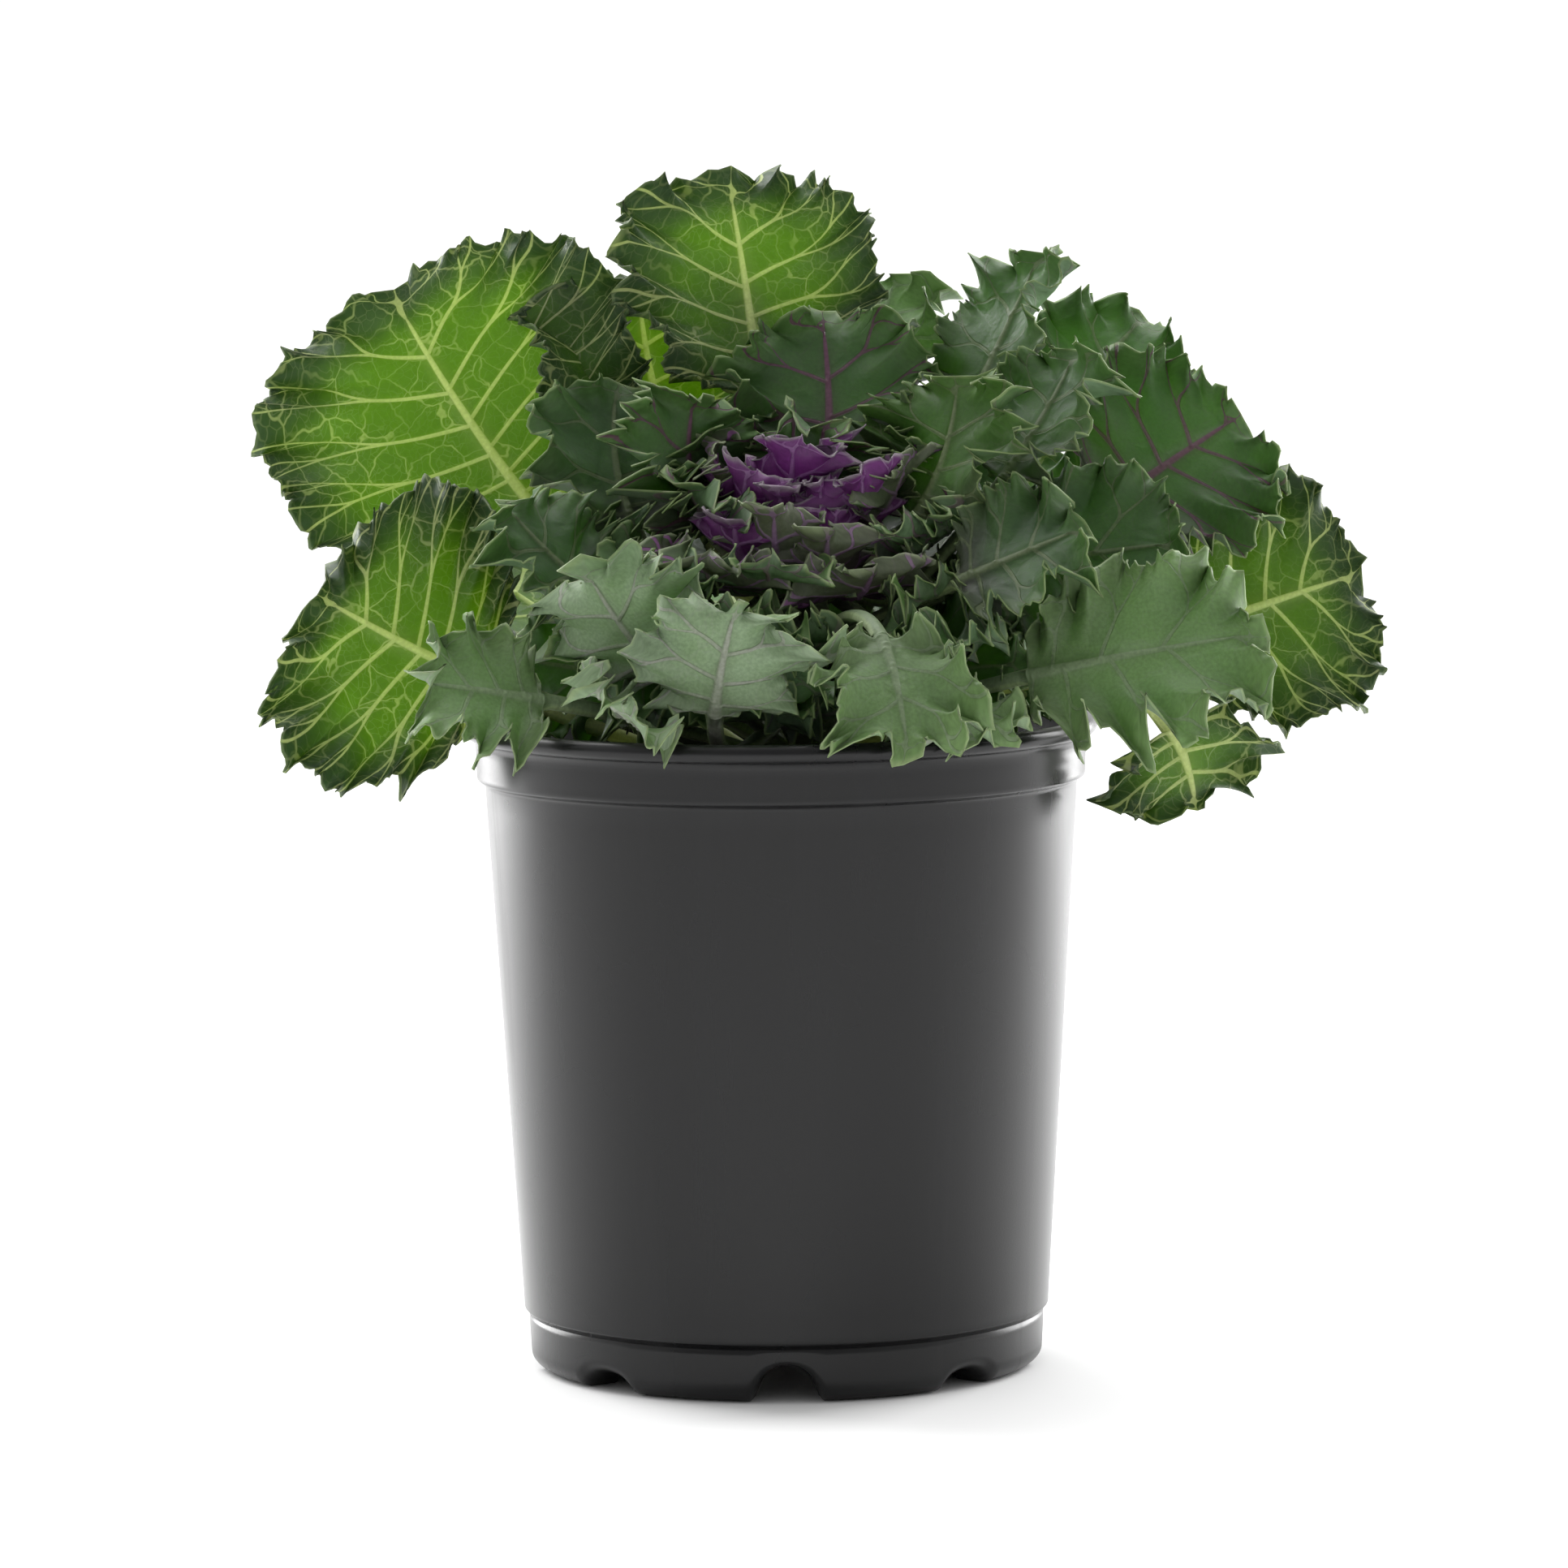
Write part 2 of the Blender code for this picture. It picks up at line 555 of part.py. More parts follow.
def heart_ring():
    """The youngest leaves, upright in the middle of the crown."""
    for i in range(HEART_RING):
        azimuth = 100 + GOLDEN_TURN * i
        base = crown_point(azimuth, 5 + 0.5 * i, 9)
        tip = crown_point(azimuth, 8 + 1.1 * i, 31 - 1.5 * i)
        yield Leaf(f"heart_{i}", 1.12, base, tip, 20 + i, 0, 60, 30, 3, 7, 91 + i)


def heart_core():
    """A small bud that the heart's leaves grow from."""
    profile = [(0, 1.5), (4.0, 2.2), (6.5, 5.0), (7.0, 9.0), (5.5, 13.0), (3.0, 16.0), (0, 17.0)]
    points, faces = turned(profile, 14)
    x, y, z = np.array(points).T
    lean_y = y * math.cos(CROWN_LEAN) - z * math.sin(CROWN_LEAN)
    lean_z = y * math.sin(CROWN_LEAN) + z * math.cos(CROWN_LEAN)
    return np.stack([x, lean_y, lean_z], 1) + CROWN * MM, faces


def make_plant():
    green = make_material("leaf_green", LEAF_GREEN)
    stem_green = make_material("stem_green", STEM_GREEN)
    sunk = -STEM_SUNK * MM / np.linalg.norm(STEM_TOP - STEM_FOOT)
    gap = 0.4 * MM / np.linalg.norm(STEM_TOP - STEM_FOOT)
    stem = stem_round(sunk, STEM_SPLIT - gap, STEM_RADIUS, STEM_RADIUS * 0.9)
    pieces = [add_object("stem", *stem, stem_green)]
    pieces += [add_object(leaf.name, *leaf_solid(leaf), green) for leaf in OUTER_LEAVES]
    crown = stem_round(STEM_SPLIT, 1.0, STEM_RADIUS * 0.9, STEM_RADIUS * 0.8)
    head = [*HEAD_LEAVES, *head_ring()]
    pieces.append(fuse("head", crown, head, make_material("head_green", HEAD_GREEN)))
    pieces.append(fuse("heart", heart_core(), list(heart_ring()), make_material("heart_purple", HEART_PURPLE)))
    return pieces


def main():
    clear_scene()
    axis = bpy.data.objects.new("pot_axis", None)
    axis.location = POT_AXIS
    bpy.context.scene.collection.objects.link(axis)
    for piece in [make_pot(), make_soil(), *make_plant()]:
        piece.parent = axis


main()
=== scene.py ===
"""Looks of a potted ornamental kale: waved, veined leaves, a leaning stem, potting mix and a moulded pot."""

import math
from collections import namedtuple

import bmesh
import bpy
import numpy as np
from mathutils import Matrix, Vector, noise


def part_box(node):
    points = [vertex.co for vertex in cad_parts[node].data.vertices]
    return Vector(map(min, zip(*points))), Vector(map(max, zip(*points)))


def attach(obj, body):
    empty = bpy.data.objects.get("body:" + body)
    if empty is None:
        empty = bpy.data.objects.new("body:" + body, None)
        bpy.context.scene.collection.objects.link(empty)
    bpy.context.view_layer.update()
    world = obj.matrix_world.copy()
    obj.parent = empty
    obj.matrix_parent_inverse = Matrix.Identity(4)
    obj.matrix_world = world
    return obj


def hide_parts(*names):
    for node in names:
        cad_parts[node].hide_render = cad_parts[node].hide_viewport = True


MM = 0.001

# Camera as fitted to the photograph's pot rims and steps, about the pot's axis
PHOTO_SIZE = 1932
FOCAL_PIXELS = 9768
SENSOR_WIDTH = 36.0
CAMERA_PLACE = (0.0009, -2.5339, 0.4412)
CAMERA_PITCH = math.radians(5.73)
CAMERA_ROLL = math.radians(0.58)

# Light, in watts and metres: a surround that is dimmer in front, a sun and a tall lamp at each side
WORLD_FRONT = 0.42
WORLD_BACK = 1.05
WORLD_TURN = (-0.75, 0.15)
SUN_POWER = 1.6
SUN_SOFTNESS = math.radians(50)
SUN_TILT = (math.radians(-28), math.radians(-14), 0)
SIDE_LAMP = (1.1, 1.8)
SIDE_POWER = 52.0
SIDE_PLACE = (1.35, 1.2, 0.9)
SIDE_TURN = math.radians(132)
FLOOR_HALF = 30.0
FLOOR_DROP = 0.2
FLOOR_COLOUR = (0.92, 0.92, 0.92)
FLOOR_ROUGHNESS = 0.9

# Pot, in millimetres, as in the part's source
POT_HEIGHT = 209.0
RIM_RADIUS = 101.6
RIM_DEPTH = 6.0
BAND_RADIUS = 97.7
BAND_FOOT = 190.0
WALL_TOP_RADIUS = 95.0
WALL_FOOT_RADIUS = 84.5
WALL_FOOT = 19.0
BASE_RADIUS = 83.0
WALL = 1.6
FLOOR = 13.5
FLOOR_THICK = 2.0
FOOT_OUTER = 76.5
FOOT_INNER = 67.0
POT_SIDES = 256
ARCHES = 8
ARCH_HEIGHT = 11.7
ARCH_HALF = 10.0
SMALL_ARCH_SHARE = 0.5
FIRST_ARCH = 270.0
FLOOR_RINGS = (4.0, 20.0, 56.0)

# Soil and stem, in millimetres
SOIL_TOP = 176.0
SOIL_GAP = 0.4
SOIL_SIDES = 180
SOIL_RINGS = 70
SOIL_BUMPS = ((1.6, 14), (1.3, 5), (0.8, 2))
CRUMBS = 450
CRUMB_REACH = 88.0
CRUMB_SIZES = (0.8, 3.4)
PERLITE_SHARE = 0.06
PERLITE_SIZES = (0.7, 1.5)
STEM_FOOT = np.array([3.0, 10.0, 184.0]) * MM
STEM_TOP = np.array([8.0, -4.0, 262.0]) * MM
STEM_RADIUS = 8.5
STEM_SUNK = 12.0
STEM_ROWS = 90
STEM_SIDES = 64
SCARS = 22
SCAR_HALF = 2.2
SCAR_RISE = 0.9

# The heart's middle, from which the inner leaves open, leaning forwards
CROWN = np.array([8.0, -5.0, 262.0])
CROWN_LEAN = math.radians(36)
GOLDEN_TURN = 137.5

# Leaves, in millimetres: stalk, midrib, side veins and sheet, as in the part's source. A fork has where it
# starts and ends along a ray, and how many spacings its branches lie to each side.
STALK_SHARE = 0.17
STALK_HALF = 2.5
STALK_FLARE = 0.5
STALK_THICK = 2.0
RIB_THICK = 1.5
RIB_TIP_HALF = 0.5
RIB_FOOT_HALF = 2.4
VEIN_THICK = 0.45
VEIN_SPACING = 15
FEWEST_VEINS = 4
FORKS = ((0.40, 0.85, 0.25), (0.70, 1.0, 0.11))
SHEET_HALF = 0.25
OUTER_ROOT = 10.0
HEART_ROOT = 1.5

# Waves of the margin, in millimetres: folds that are the source's own, and finer ones that are only here.
# A band is how far in from the margin a wave reaches, and a span how long it is.
CURL_BAND = 24.0
FOLD_BAND = 42.0
SWING = 1.35
SWAY = 0.055
WAVE_SHARE = 0.42
CRIMP_BAND = 12.0
CRIMP_SPAN = (5.5, 13.0)
RUFFLE_BAND = 8.0
RUFFLE_SPAN = 5.6
RUFFLE_SHARE = 1.1
TOOTH_BAND = 3.0
TOOTH_SPAN = 3.8
TOOTH = 0.5

# A leaf whose crimps bend this far in degrees is frilled: it gets larger small lobes and a finer mesh
FRILLED = 50
FRILLED_LOBE = 0.45
PLAIN_LOBE = 0.20

# Mesh of a leaf: steps in millimetres along the margin and towards it, rows and columns
FINE_STEP = 0.85
PLAIN_STEP = 1.1
ROW_STEP = 4.8
LEAST_ROWS = 5
STALK_COLUMNS = 12
RIB_ROWS = (0.0, 0.4, 0.75)
MARGIN_SAMPLES = 1001
MIDRIB_SAMPLES = 160
MIDRIB_REACH = 1.25
SEED_SHIFT = 40

Leaf = namedtuple(
    "Leaf",
    "name root base tip width roll cup curl frill waves seed look lobe crimp",
    defaults=("outer", 1.8, 46),
)

# Leaves are laid as in the part's source. root is the height up the stem, from 0 to 1. base and tip are where
# the blade starts and ends, each as azimuth in degrees, reach from the pot's axis and height in millimetres.
# lobe is the depth of the margin's lobes in millimetres, turned inside out where it is negative, and crimp is
# how far the margin's small waves bend in degrees.
OUTER_SHAPES = (
    ("left_high", 0.18, (149, 88, 268), (148, 150, 344), 126, -62, 8, 15, 5, 13, 1, "sunlit", 3.8, 30),
    ("back_high", 0.32, (96, 54, 310), (100, 90, 379), 86, 0, 15, 20, 5, 12, 2, "sunlit", 3.6, 32),
    ("back_notched", 0.51, (67, 72, 312), (67, 102, 346), 46, 10, 15, 20, 5, 8, 3, "pale", -1.4, 50),
    ("right_high", 0.43, (33, 75, 306), (36, 107, 354), 48, 0, 15, 35, 5, 8, 4, "dark", 1.5),
    ("right_inner", 0.52, (0, 72, 284), (10, 98, 324), 48, 20, 15, 20, 5, 8, 5, "dark"),
    ("right_frilled", 0.19, (8, 107, 274), (12, 153, 302), 78, 60, 15, 20, 5, 11, 6, "purple_rib", 2.0, 66),
    ("right_rear", 0.28, (33, 108, 300), (36, 150, 332), 50, 40, 15, 20, 5, 8, 7, "dark"),
    ("right_low", 0.04, (9, 130, 232), (11, 192, 250), 84, 75, 10, 15, 4, 11, 8, "olive", 3.4, 32),
    ("front_right", 0.22, (328, 92, 225), (341, 160, 238), 64, 65, 10, 15, 8, 11, 9, "pale", -1.8, 50),
    ("right_hanging", 0.10, (349, 126, 206), (354, 133, 180), 56, 90, 10, 10, 6, 8, 10, "sunlit", -2.0),
    ("left_low", 0.05, (186, 94, 221), (184, 148, 250), 102, -75, 10, 15, 6, 13, 11, "sunlit", 3.6, 32),
    ("front_left_low", 0.15, (219, 96, 220), (213, 134, 227), 48, -60, 10, 15, 8, 8, 12, "pale", -1.8, 50),
    ("front_left_small", 0.04, (243, 92, 213), (239, 112, 226), 48, -30, 10, 15, 8, 8, 32, "pale", -1.4, 50),
    ("front", 0.34, (256, 84, 217), (262, 96, 252), 52, 0, 10, 15, 8, 8, 13, "pale", -1.8, 50),
    ("front_hanging", 0.53, (292, 84, 240), (290, 114, 207), 48, 0, 10, 15, 8, 8, 14, "pale", -1.4, 50),
    ("front_small", 0.05, (305, 86, 219), (304, 108, 208), 42, 0, 10, 15, 8, 8, 33, "pale", -1.4, 50),
    ("front_left", 0.44, (238, 66, 227), (228, 90, 262), 64, 20, 10, 15, 8, 9, 15, "pale", -1.4, 50),
    ("front_inner", 0.40, (313, 66, 232), (317, 90, 239), 42, 10, 10, 15, 6, 8, 34, "dark"),
    ("left_inner", 0.55, (158, 50, 268), (142, 66, 314), 54, -20, 10, 20, 6, 9, 16, "dark"),
    ("left_middle", 0.42, (196, 58, 247), (190, 88, 278), 52, -40, 10, 20, 6, 9, 17, "dark"),
    ("right_middle", 0.62, (329, 66, 254), (338, 104, 271), 54, 50, 15, 20, 6, 9, 21, "dark"),
    ("back_low_right", 0.06, (62, 90, 226), (60, 150, 250), 84, 10, 10, 15, 5, 11, 41, "olive"),
    ("back_low", 0.02, (95, 92, 222), (97, 152, 240), 80, 0, 10, 15, 5, 11, 42),
    ("back_low_left", 0.09, (130, 92, 224), (134, 150, 252), 80, -10, 10, 15, 5, 11, 43, "olive"),
    ("back_middle_right", 0.13, (44, 78, 246), (45, 128, 288), 60, 15, 10, 15, 5, 10, 44),
    ("back_middle", 0.20, (80, 72, 252), (79, 124, 290), 54, 0, 10, 15, 5, 10, 45),
    ("back_middle_left", 0.24, (116, 76, 250), (116, 128, 294), 62, -10, 10, 15, 5, 10, 46),
)
OUTER_LEAVES = tuple(Leaf("leaf_" + name, *shape) for name, *shape in OUTER_SHAPES)
HEAD_LEAVES = (
    Leaf("head_back", 0.75, (60, 32, 284), (75, 57, 335), 64, 0, 15, 20, 6, 9, 18, "purple_rib", 2.4, 58),
    Leaf("head_right", 0.80, (6, 44, 272), (14, 60, 316), 66, 20, 15, 20, 6, 9, 19, "bright", 2.4, 58),
    Leaf("head_left", 0.85, (157, 24, 268), (144, 33, 311), 54, -10, 15, 20, 6, 9, 20, "purple_rib", 2.4, 58),
    Leaf("shade_left", 0.60, (124, 60, 288), (119, 94, 346), 82, -10, 15, 20, 5, 9, 21, "sunlit", 2.0, 28),
    Leaf("shade_right", 0.58, (350, 64, 252), (353, 130, 264), 60, 60, 12, 20, 5, 9, 22, "dark", 2.2, 60),
)

# Low leaves over the rim. Base and tip are reach and height, and every other tip is higher.
SKIRT = 9
SKIRT_FIRST = 12.0
SKIRT_ROLL = 58.0
SKIRT_BASE = (38, 214)
SKIRT_TIP = (84, 227)
SKIRT_RISE = 8
SKIRT_SEED = 300

# Rings of leaves about the leaning crown. first is the first azimuth, base and tip are reach and height from
# the crown, and gain is how much further out and up each next tip lies. The rest is as for a leaf.
Ring = namedtuple("Ring", "name count first base tip gain width root cup curl waves seed looks lobe crimp")
HEAD_RINGS = (
    Ring("head_low", 9, 10, (34, -26), (72, -8), (0.6, 0.3), 56, 0.86, 12, 25, 8, 260, ("dark",), 2.2, 52),
    Ring("head_middle", 9, 230, (30, -6), (54, 12), (1.0, -0.4), 50, 0.92, 15, 35, 7, 160,
         ("bright", "dark"), 2.4, 58),
    Ring("head", 8, 250, (20, 0), (35, 22), (1.6, -0.6), 42, 0.98, 20, 40, 6, 60,
         ("purple_rib", "young"), 2.4, 60),
)
HEART_RINGS = (
    Ring("heart", 7, 100, (9, 2), (16, 32), (1.4, -1.8), 29, 1.12, 45, 35, 5, 91,
         ("heart", "young", "heart"), 1.6, 60),
    Ring("heart_inner", 6, 30, (4, 2), (6, 26), (1.2, -1.5), 20, 1.12, 60, 30, 5, 191, ("heart",), 1.4, 60),
)
RING_GROWTH = 0.7
RING_FRILL = 5

# A leaf laid out flat, with a column for each ray. sign is the ray's side, k its share of the way to the tip,
# b that of the blade and s its place along the margin. start is how far along the midrib it starts, out_x and
# out_y its direction, r its points as shares of its length, and rib the midrib's half width there.
Rays = namedtuple("Rays", "sign k b s start length out_x out_y r rib rim_length")

# Waves along a margin: the length of a fold, phases of folds, crimps, teeth and ruffles, and how they vary
Waves = namedtuple("Waves", "cycle fold swell droop crimp_span crimp bend tooth ruffle")

# A look has colours for the blade in its middle and near its margin, the thin edge, the veins, the underside
# and its veins, and light that comes through. through is how much light does, net how clear the fine veins
# are, flush how purple the base is, and band how far in the margin's colour starts, in millimetres.
Look = namedtuple("Look", "blade margin edge vein under under_vein glow through net rough flush band")
FLUSH = (0.120, 0.016, 0.125)
WAX_SHEEN = 0.42
PLASTIC_SHEEN = 0.34

# Scales of a leaf's texture, as features a millimetre, and how many millimetres the vein net strays
PATCH_SCALE = 0.06
SPECKLE_SCALE = 0.9
NET_SCALE = 0.105
SMALL_NET_SCALE = 0.36
NET_BEND_SCALE = 0.12
NET_BEND = 7.0
LOOKS = {
    # The big outer leaves: their own green with painted backlight, a brighter, yellower middle against a
    # darker margin, as where light shines through from behind.
    "sunlit": Look(
        blade=(0.068, 0.16, 0.014), margin=(0.044, 0.085, 0.036), edge=(0.2, 0.27, 0.11),
        vein=(0.58, 0.64, 0.3), under=(0.19, 0.28, 0.15), under_vein=(0.46, 0.48, 0.26),
        glow=(0.31, 0.5, 0.018), through=0.46, net=0.55, rough=0.46, flush=0.0, band=36.0,
    ),
    "olive": Look(
        blade=(0.055, 0.125, 0.014), margin=(0.036, 0.07, 0.028), edge=(0.18, 0.24, 0.09),
        vein=(0.52, 0.58, 0.26), under=(0.16, 0.24, 0.12), under_vein=(0.4, 0.44, 0.22),
        glow=(0.26, 0.42, 0.016), through=0.4, net=0.42, rough=0.46, flush=0.0, band=40.0,
    ),
    "outer": Look(
        blade=(0.06, 0.13, 0.036), margin=(0.055, 0.118, 0.042), edge=(0.24, 0.33, 0.14),
        vein=(0.26, 0.31, 0.13), under=(0.22, 0.32, 0.18), under_vein=(0.36, 0.38, 0.26),
        glow=(0.32, 0.56, 0.06), through=0.32, net=0.3, rough=0.48, flush=0.1, band=30.0,
    ),
    "pale": Look(
        blade=(0.15, 0.25, 0.1), margin=(0.165, 0.275, 0.095), edge=(0.33, 0.43, 0.2),
        vein=(0.2, 0.27, 0.15), under=(0.29, 0.4, 0.24), under_vein=(0.42, 0.4, 0.38),
        glow=(0.33, 0.58, 0.12), through=0.26, net=0.22, rough=0.5, flush=0.15, band=26.0,
    ),
    # The inner leaves: their own darker blue-green, partly painted shade, with a blade darker than the outer
    # leaves' as where the leaves around them shade it.
    "dark": Look(
        blade=(0.036, 0.082, 0.028), margin=(0.095, 0.19, 0.056), edge=(0.32, 0.43, 0.17),
        vein=(0.14, 0.18, 0.09), under=(0.15, 0.24, 0.13), under_vein=(0.24, 0.24, 0.2),
        glow=(0.28, 0.54, 0.06), through=0.3, net=0.18, rough=0.48, flush=0.35, band=22.0,
    ),
    "purple_rib": Look(
        blade=(0.046, 0.104, 0.032), margin=(0.105, 0.205, 0.06), edge=(0.34, 0.45, 0.19),
        vein=(0.15, 0.06, 0.11), under=(0.15, 0.235, 0.13), under_vein=(0.25, 0.12, 0.2),
        glow=(0.28, 0.54, 0.06), through=0.28, net=0.1, rough=0.48, flush=0.42, band=22.0,
    ),
    "bright": Look(
        blade=(0.06, 0.14, 0.028), margin=(0.125, 0.235, 0.064), edge=(0.36, 0.47, 0.19),
        vein=(0.18, 0.23, 0.11), under=(0.17, 0.26, 0.14), under_vein=(0.25, 0.2, 0.2),
        glow=(0.3, 0.58, 0.06), through=0.3, net=0.2, rough=0.46, flush=0.4, band=22.0,
    ),
    "young": Look(
        blade=(0.06, 0.06, 0.036), margin=(0.09, 0.15, 0.06), edge=(0.33, 0.4, 0.22),
        vein=(0.3, 0.11, 0.31), under=(0.15, 0.17, 0.11), under_vein=(0.4, 0.21, 0.44),
        glow=(0.35, 0.38, 0.2), through=0.26, net=0.1, rough=0.45, flush=1.0, band=16.0,
    ),
    "heart": Look(
        blade=(0.155, 0.018, 0.165), margin=(0.175, 0.125, 0.18), edge=(0.36, 0.34, 0.33),
        vein=(0.36, 0.14, 0.4), under=(0.19, 0.036, 0.21), under_vein=(0.4, 0.21, 0.44),
        glow=(0.6, 0.1, 0.64), through=0.26, net=0.1, rough=0.42, flush=0.0, band=20.0,
    ),
}


def unit(vectors):
    return vectors / np.maximum(np.linalg.norm(vectors, axis=-1, keepdims=True), 1e-12)


def ease(x, low, high):
    t = np.clip((np.asarray(x, float) - low) / (high - low), 0, 1)
    return t * t * (3 - 2 * t)


def wander(rng, at, waves):
    """A smooth wandering line: the sum of sine waves, each a span and a size."""
    return sum(size * np.sin(2 * math.pi * (at / span + rng.random())) for span, size in waves)


def polar(azimuth, reach, height):
    turn = math.radians(azimuth)
    return np.array([reach * math.cos(turn), reach * math.sin(turn), height]) * MM


def crown_point(azimuth, reach, height):
    """A point of the crown, which leans forwards, as azimuth, reach and height from the pot's axis."""
    turn = math.radians(azimuth)
    x, y = reach * math.cos(turn), reach * math.sin(turn)
    lean_y = y * math.cos(CROWN_LEAN) - height * math.sin(CROWN_LEAN)
    lean_z = y * math.sin(CROWN_LEAN) + height * math.cos(CROWN_LEAN)
    x, y, z = CROWN + (x, lean_y, lean_z)
    return math.degrees(math.atan2(y, x)), math.hypot(x, y), z


def root_reach(share):
    """How far from the stem's axis a leaf starts."""
    return (OUTER_ROOT * (1 - 0.3 * share) if share < 1 else HEART_ROOT) * MM


def midrib(leaf):
    """Distance, centre, across and up along a leaf's midrib, and how long its stalk and blade are."""
    base, tip = polar(*leaf.base), polar(*leaf.tip)
    axis = STEM_FOOT + (STEM_TOP - STEM_FOOT) * leaf.root
    root = axis + unit((base - axis) * (1, 1, 0)) * root_reach(leaf.root)
    stalk, blade = np.linalg.norm(base - root), np.linalg.norm(tip - base)
    total = stalk + blade
    u = np.linspace(0, MIDRIB_REACH * total, MIDRIB_SAMPLES)[:, None]
    centre = (
        root * (u - stalk) * (u - total) / (stalk * total)
        + base * u * (u - total) / (stalk * (stalk - total))
        + tip * u * (u - stalk) / (total * blade)
    )
    step = np.linalg.norm(np.diff(centre, axis=0), axis=1)
    distance = np.concatenate([[0], np.cumsum(step)])
    stalk = np.interp(stalk, u[:, 0], distance)
    blade = np.interp(total, u[:, 0], distance) - stalk
    along = unit(np.gradient(centre, axis=0))
    lean = -0.6 if tip[2] > base[2] else 0.6
    facing = np.array([0, 0, 1]) + lean * unit((tip - axis) * (1, 1, 0))
    across = unit(np.cross(facing, along))
    up = np.cross(along, across)
    roll = math.radians(leaf.roll) * ease(distance / (stalk + blade), 0.05, 0.65)[:, None]
    across, up = across * np.cos(roll) + up * np.sin(roll), up * np.cos(roll) - across * np.sin(roll)
    return distance, centre, across, up, stalk, blade


def margin(leaf, k, stalk, blade):
    """The margin's half width and distance along at share k of it, and where its ray leaves the midrib."""
    b = np.clip((k - STALK_SHARE) / (1 - STALK_SHARE), 0, 1)
    angle = math.pi * (1 - b)
    neck = STALK_HALF * MM * (1 + STALK_FLARE * (1 - ease(k, 0, STALK_SHARE)))
    swell = np.clip(np.sin(angle), 0, 1) ** 0.72 * (1 + 0.12 * np.cos(angle))
    x = np.where(b > 0, neck * np.cos(b * math.pi / 2) + leaf.width * MM / 2 * swell, neck)
    y = np.where(b > 0, stalk + blade / 2 * (1 + np.cos(angle)), stalk * k / STALK_SHARE)
    start = np.where(b > 0, stalk + 0.88 * blade * b**1.5, y)
    return x, y, start, b


def band_share(r, length, band, power, most=0.8):
    """0 up to a band along the margin and growing to 1 at it. The band is at most that share of a ray."""
    return np.clip((r - 1) * length / np.minimum(most * length, band * MM) + 1, 0, 1) ** power


def forked(count, ray):
    """Distance to the nearest side vein, in spacings. Each vein forks twice on its way to the margin."""
    away = np.abs((count + 0.5) % 1.0 - 0.5)
    for low, high, apart in FORKS:
        away = np.abs(away - apart * ease(ray, low, high))
    return away


def scallop(phase):
    """Rounded lobes with narrow notches between them, from about -0.7 to 1, one for each turn of phase."""
    return 2 * np.sqrt(np.sin(phase / 2) ** 2 + 0.03) - 1


def bend_out(curl, wave, swing, distance):
    """How far along and up a line gets that starts flat and bends by curl and by a wave of size swing.

    A wave shortens the line by its mean and not by its angle at each point, so the margin has no spikes.
    """
    step = np.diff(distance, axis=0)
    curl, wave, swing = ((angle[1:] + angle[:-1]) / 2 for angle in (curl, wave, swing))
    mean_cosine = 1 - swing**2 / 4 + swing**4 / 64
    start = np.zeros((1, distance.shape[1]))
    run = np.vstack([start, np.cumsum(step * np.cos(curl) * mean_cosine, axis=0)])
    rise = np.vstack([start, np.cumsum(step * np.sin(curl + wave), axis=0)])
    return run, rise


def leaf_rays(leaf, stalk, blade):
    """The leaf laid out flat: rays from its midrib to its margin, and places along each of them."""
    dense = np.linspace(0, 1, MARGIN_SAMPLES)
    dense_x, dense_y = margin(leaf, dense, stalk, blade)[:2]
    edge = np.concatenate([[0], np.cumsum(np.hypot(np.diff(dense_x), np.diff(dense_y)))])
    rim_length = edge[-1] - np.interp(STALK_SHARE, dense, edge)
    column_step = FINE_STEP if leaf.crimp >= FRILLED else PLAIN_STEP
    columns = int(rim_length / (column_step * MM)) + STALK_COLUMNS
    c = np.arange(-columns, columns + 1)
    sign = np.where(c < 0, -1.0, 1.0)
    k = 1 - np.abs(c) / columns
    x, y, start, b = margin(leaf, k, stalk, blade)
    length = np.hypot(x, y - start)
    s = sign * (edge[-1] - np.interp(k, dense, edge))
    rib = np.minimum((RIB_TIP_HALF + RIB_FOOT_HALF * (1 - 0.8 * k)) * MM, 0.5 * length)
    # a few rows across the rib, then rows that lie closer and closer towards the margin
    rows = int(leaf.width / 2 / ROW_STEP) + LEAST_ROWS
    share = (1 - (1 - np.linspace(0, 1, rows)) ** 1.5)[:, None]
    rib_rows = np.array(RIB_ROWS)[:, None]
    r = np.vstack([rib_rows * rib / length, rib / length + (1 - rib / length) * share])
    return Rays(sign, k, b, s, start, length, x / length, (y - start) / length, r, rib, rim_length)


def margin_waves(leaf, rays):
    """Phases and sizes of the waves along a leaf's margin, from its folds down to its teeth."""
    s = rays.s
    cycle = 2 * rays.rim_length / leaf.waves
    rng = np.random.default_rng(leaf.seed)
    fold = 2 * math.pi * s / cycle + wander(rng, s, ((3.7 * cycle, 1.1), (1.9 * cycle, 0.5)))
    swell = 1 + wander(rng, s, ((2.6 * cycle, 0.3), (5.3 * cycle, 0.2)))
    droop = wander(rng, s, ((6.1 * cycle, 0.5), (3.3 * cycle, 0.35)))
    crimp_span = np.clip(WAVE_SHARE * cycle, CRIMP_SPAN[0] * MM, CRIMP_SPAN[1] * MM)
    crimp = 2 * math.pi * s / crimp_span + wander(rng, s, ((1.3 * cycle, 1.2),))
    bend = math.radians(leaf.crimp) * (1 + wander(rng, s, ((1.7 * cycle, 0.4),)))
    tooth = 2 * math.pi * s / (TOOTH_SPAN * MM) + wander(rng, s, ((8 * MM, 1.4),))
    ruffle = 2 * math.pi * s / (RUFFLE_SPAN * MM) + wander(rng, s, ((13 * MM, 1.3),))
    return Waves(cycle, fold, swell, droop, crimp_span, crimp, bend, tooth, ruffle)


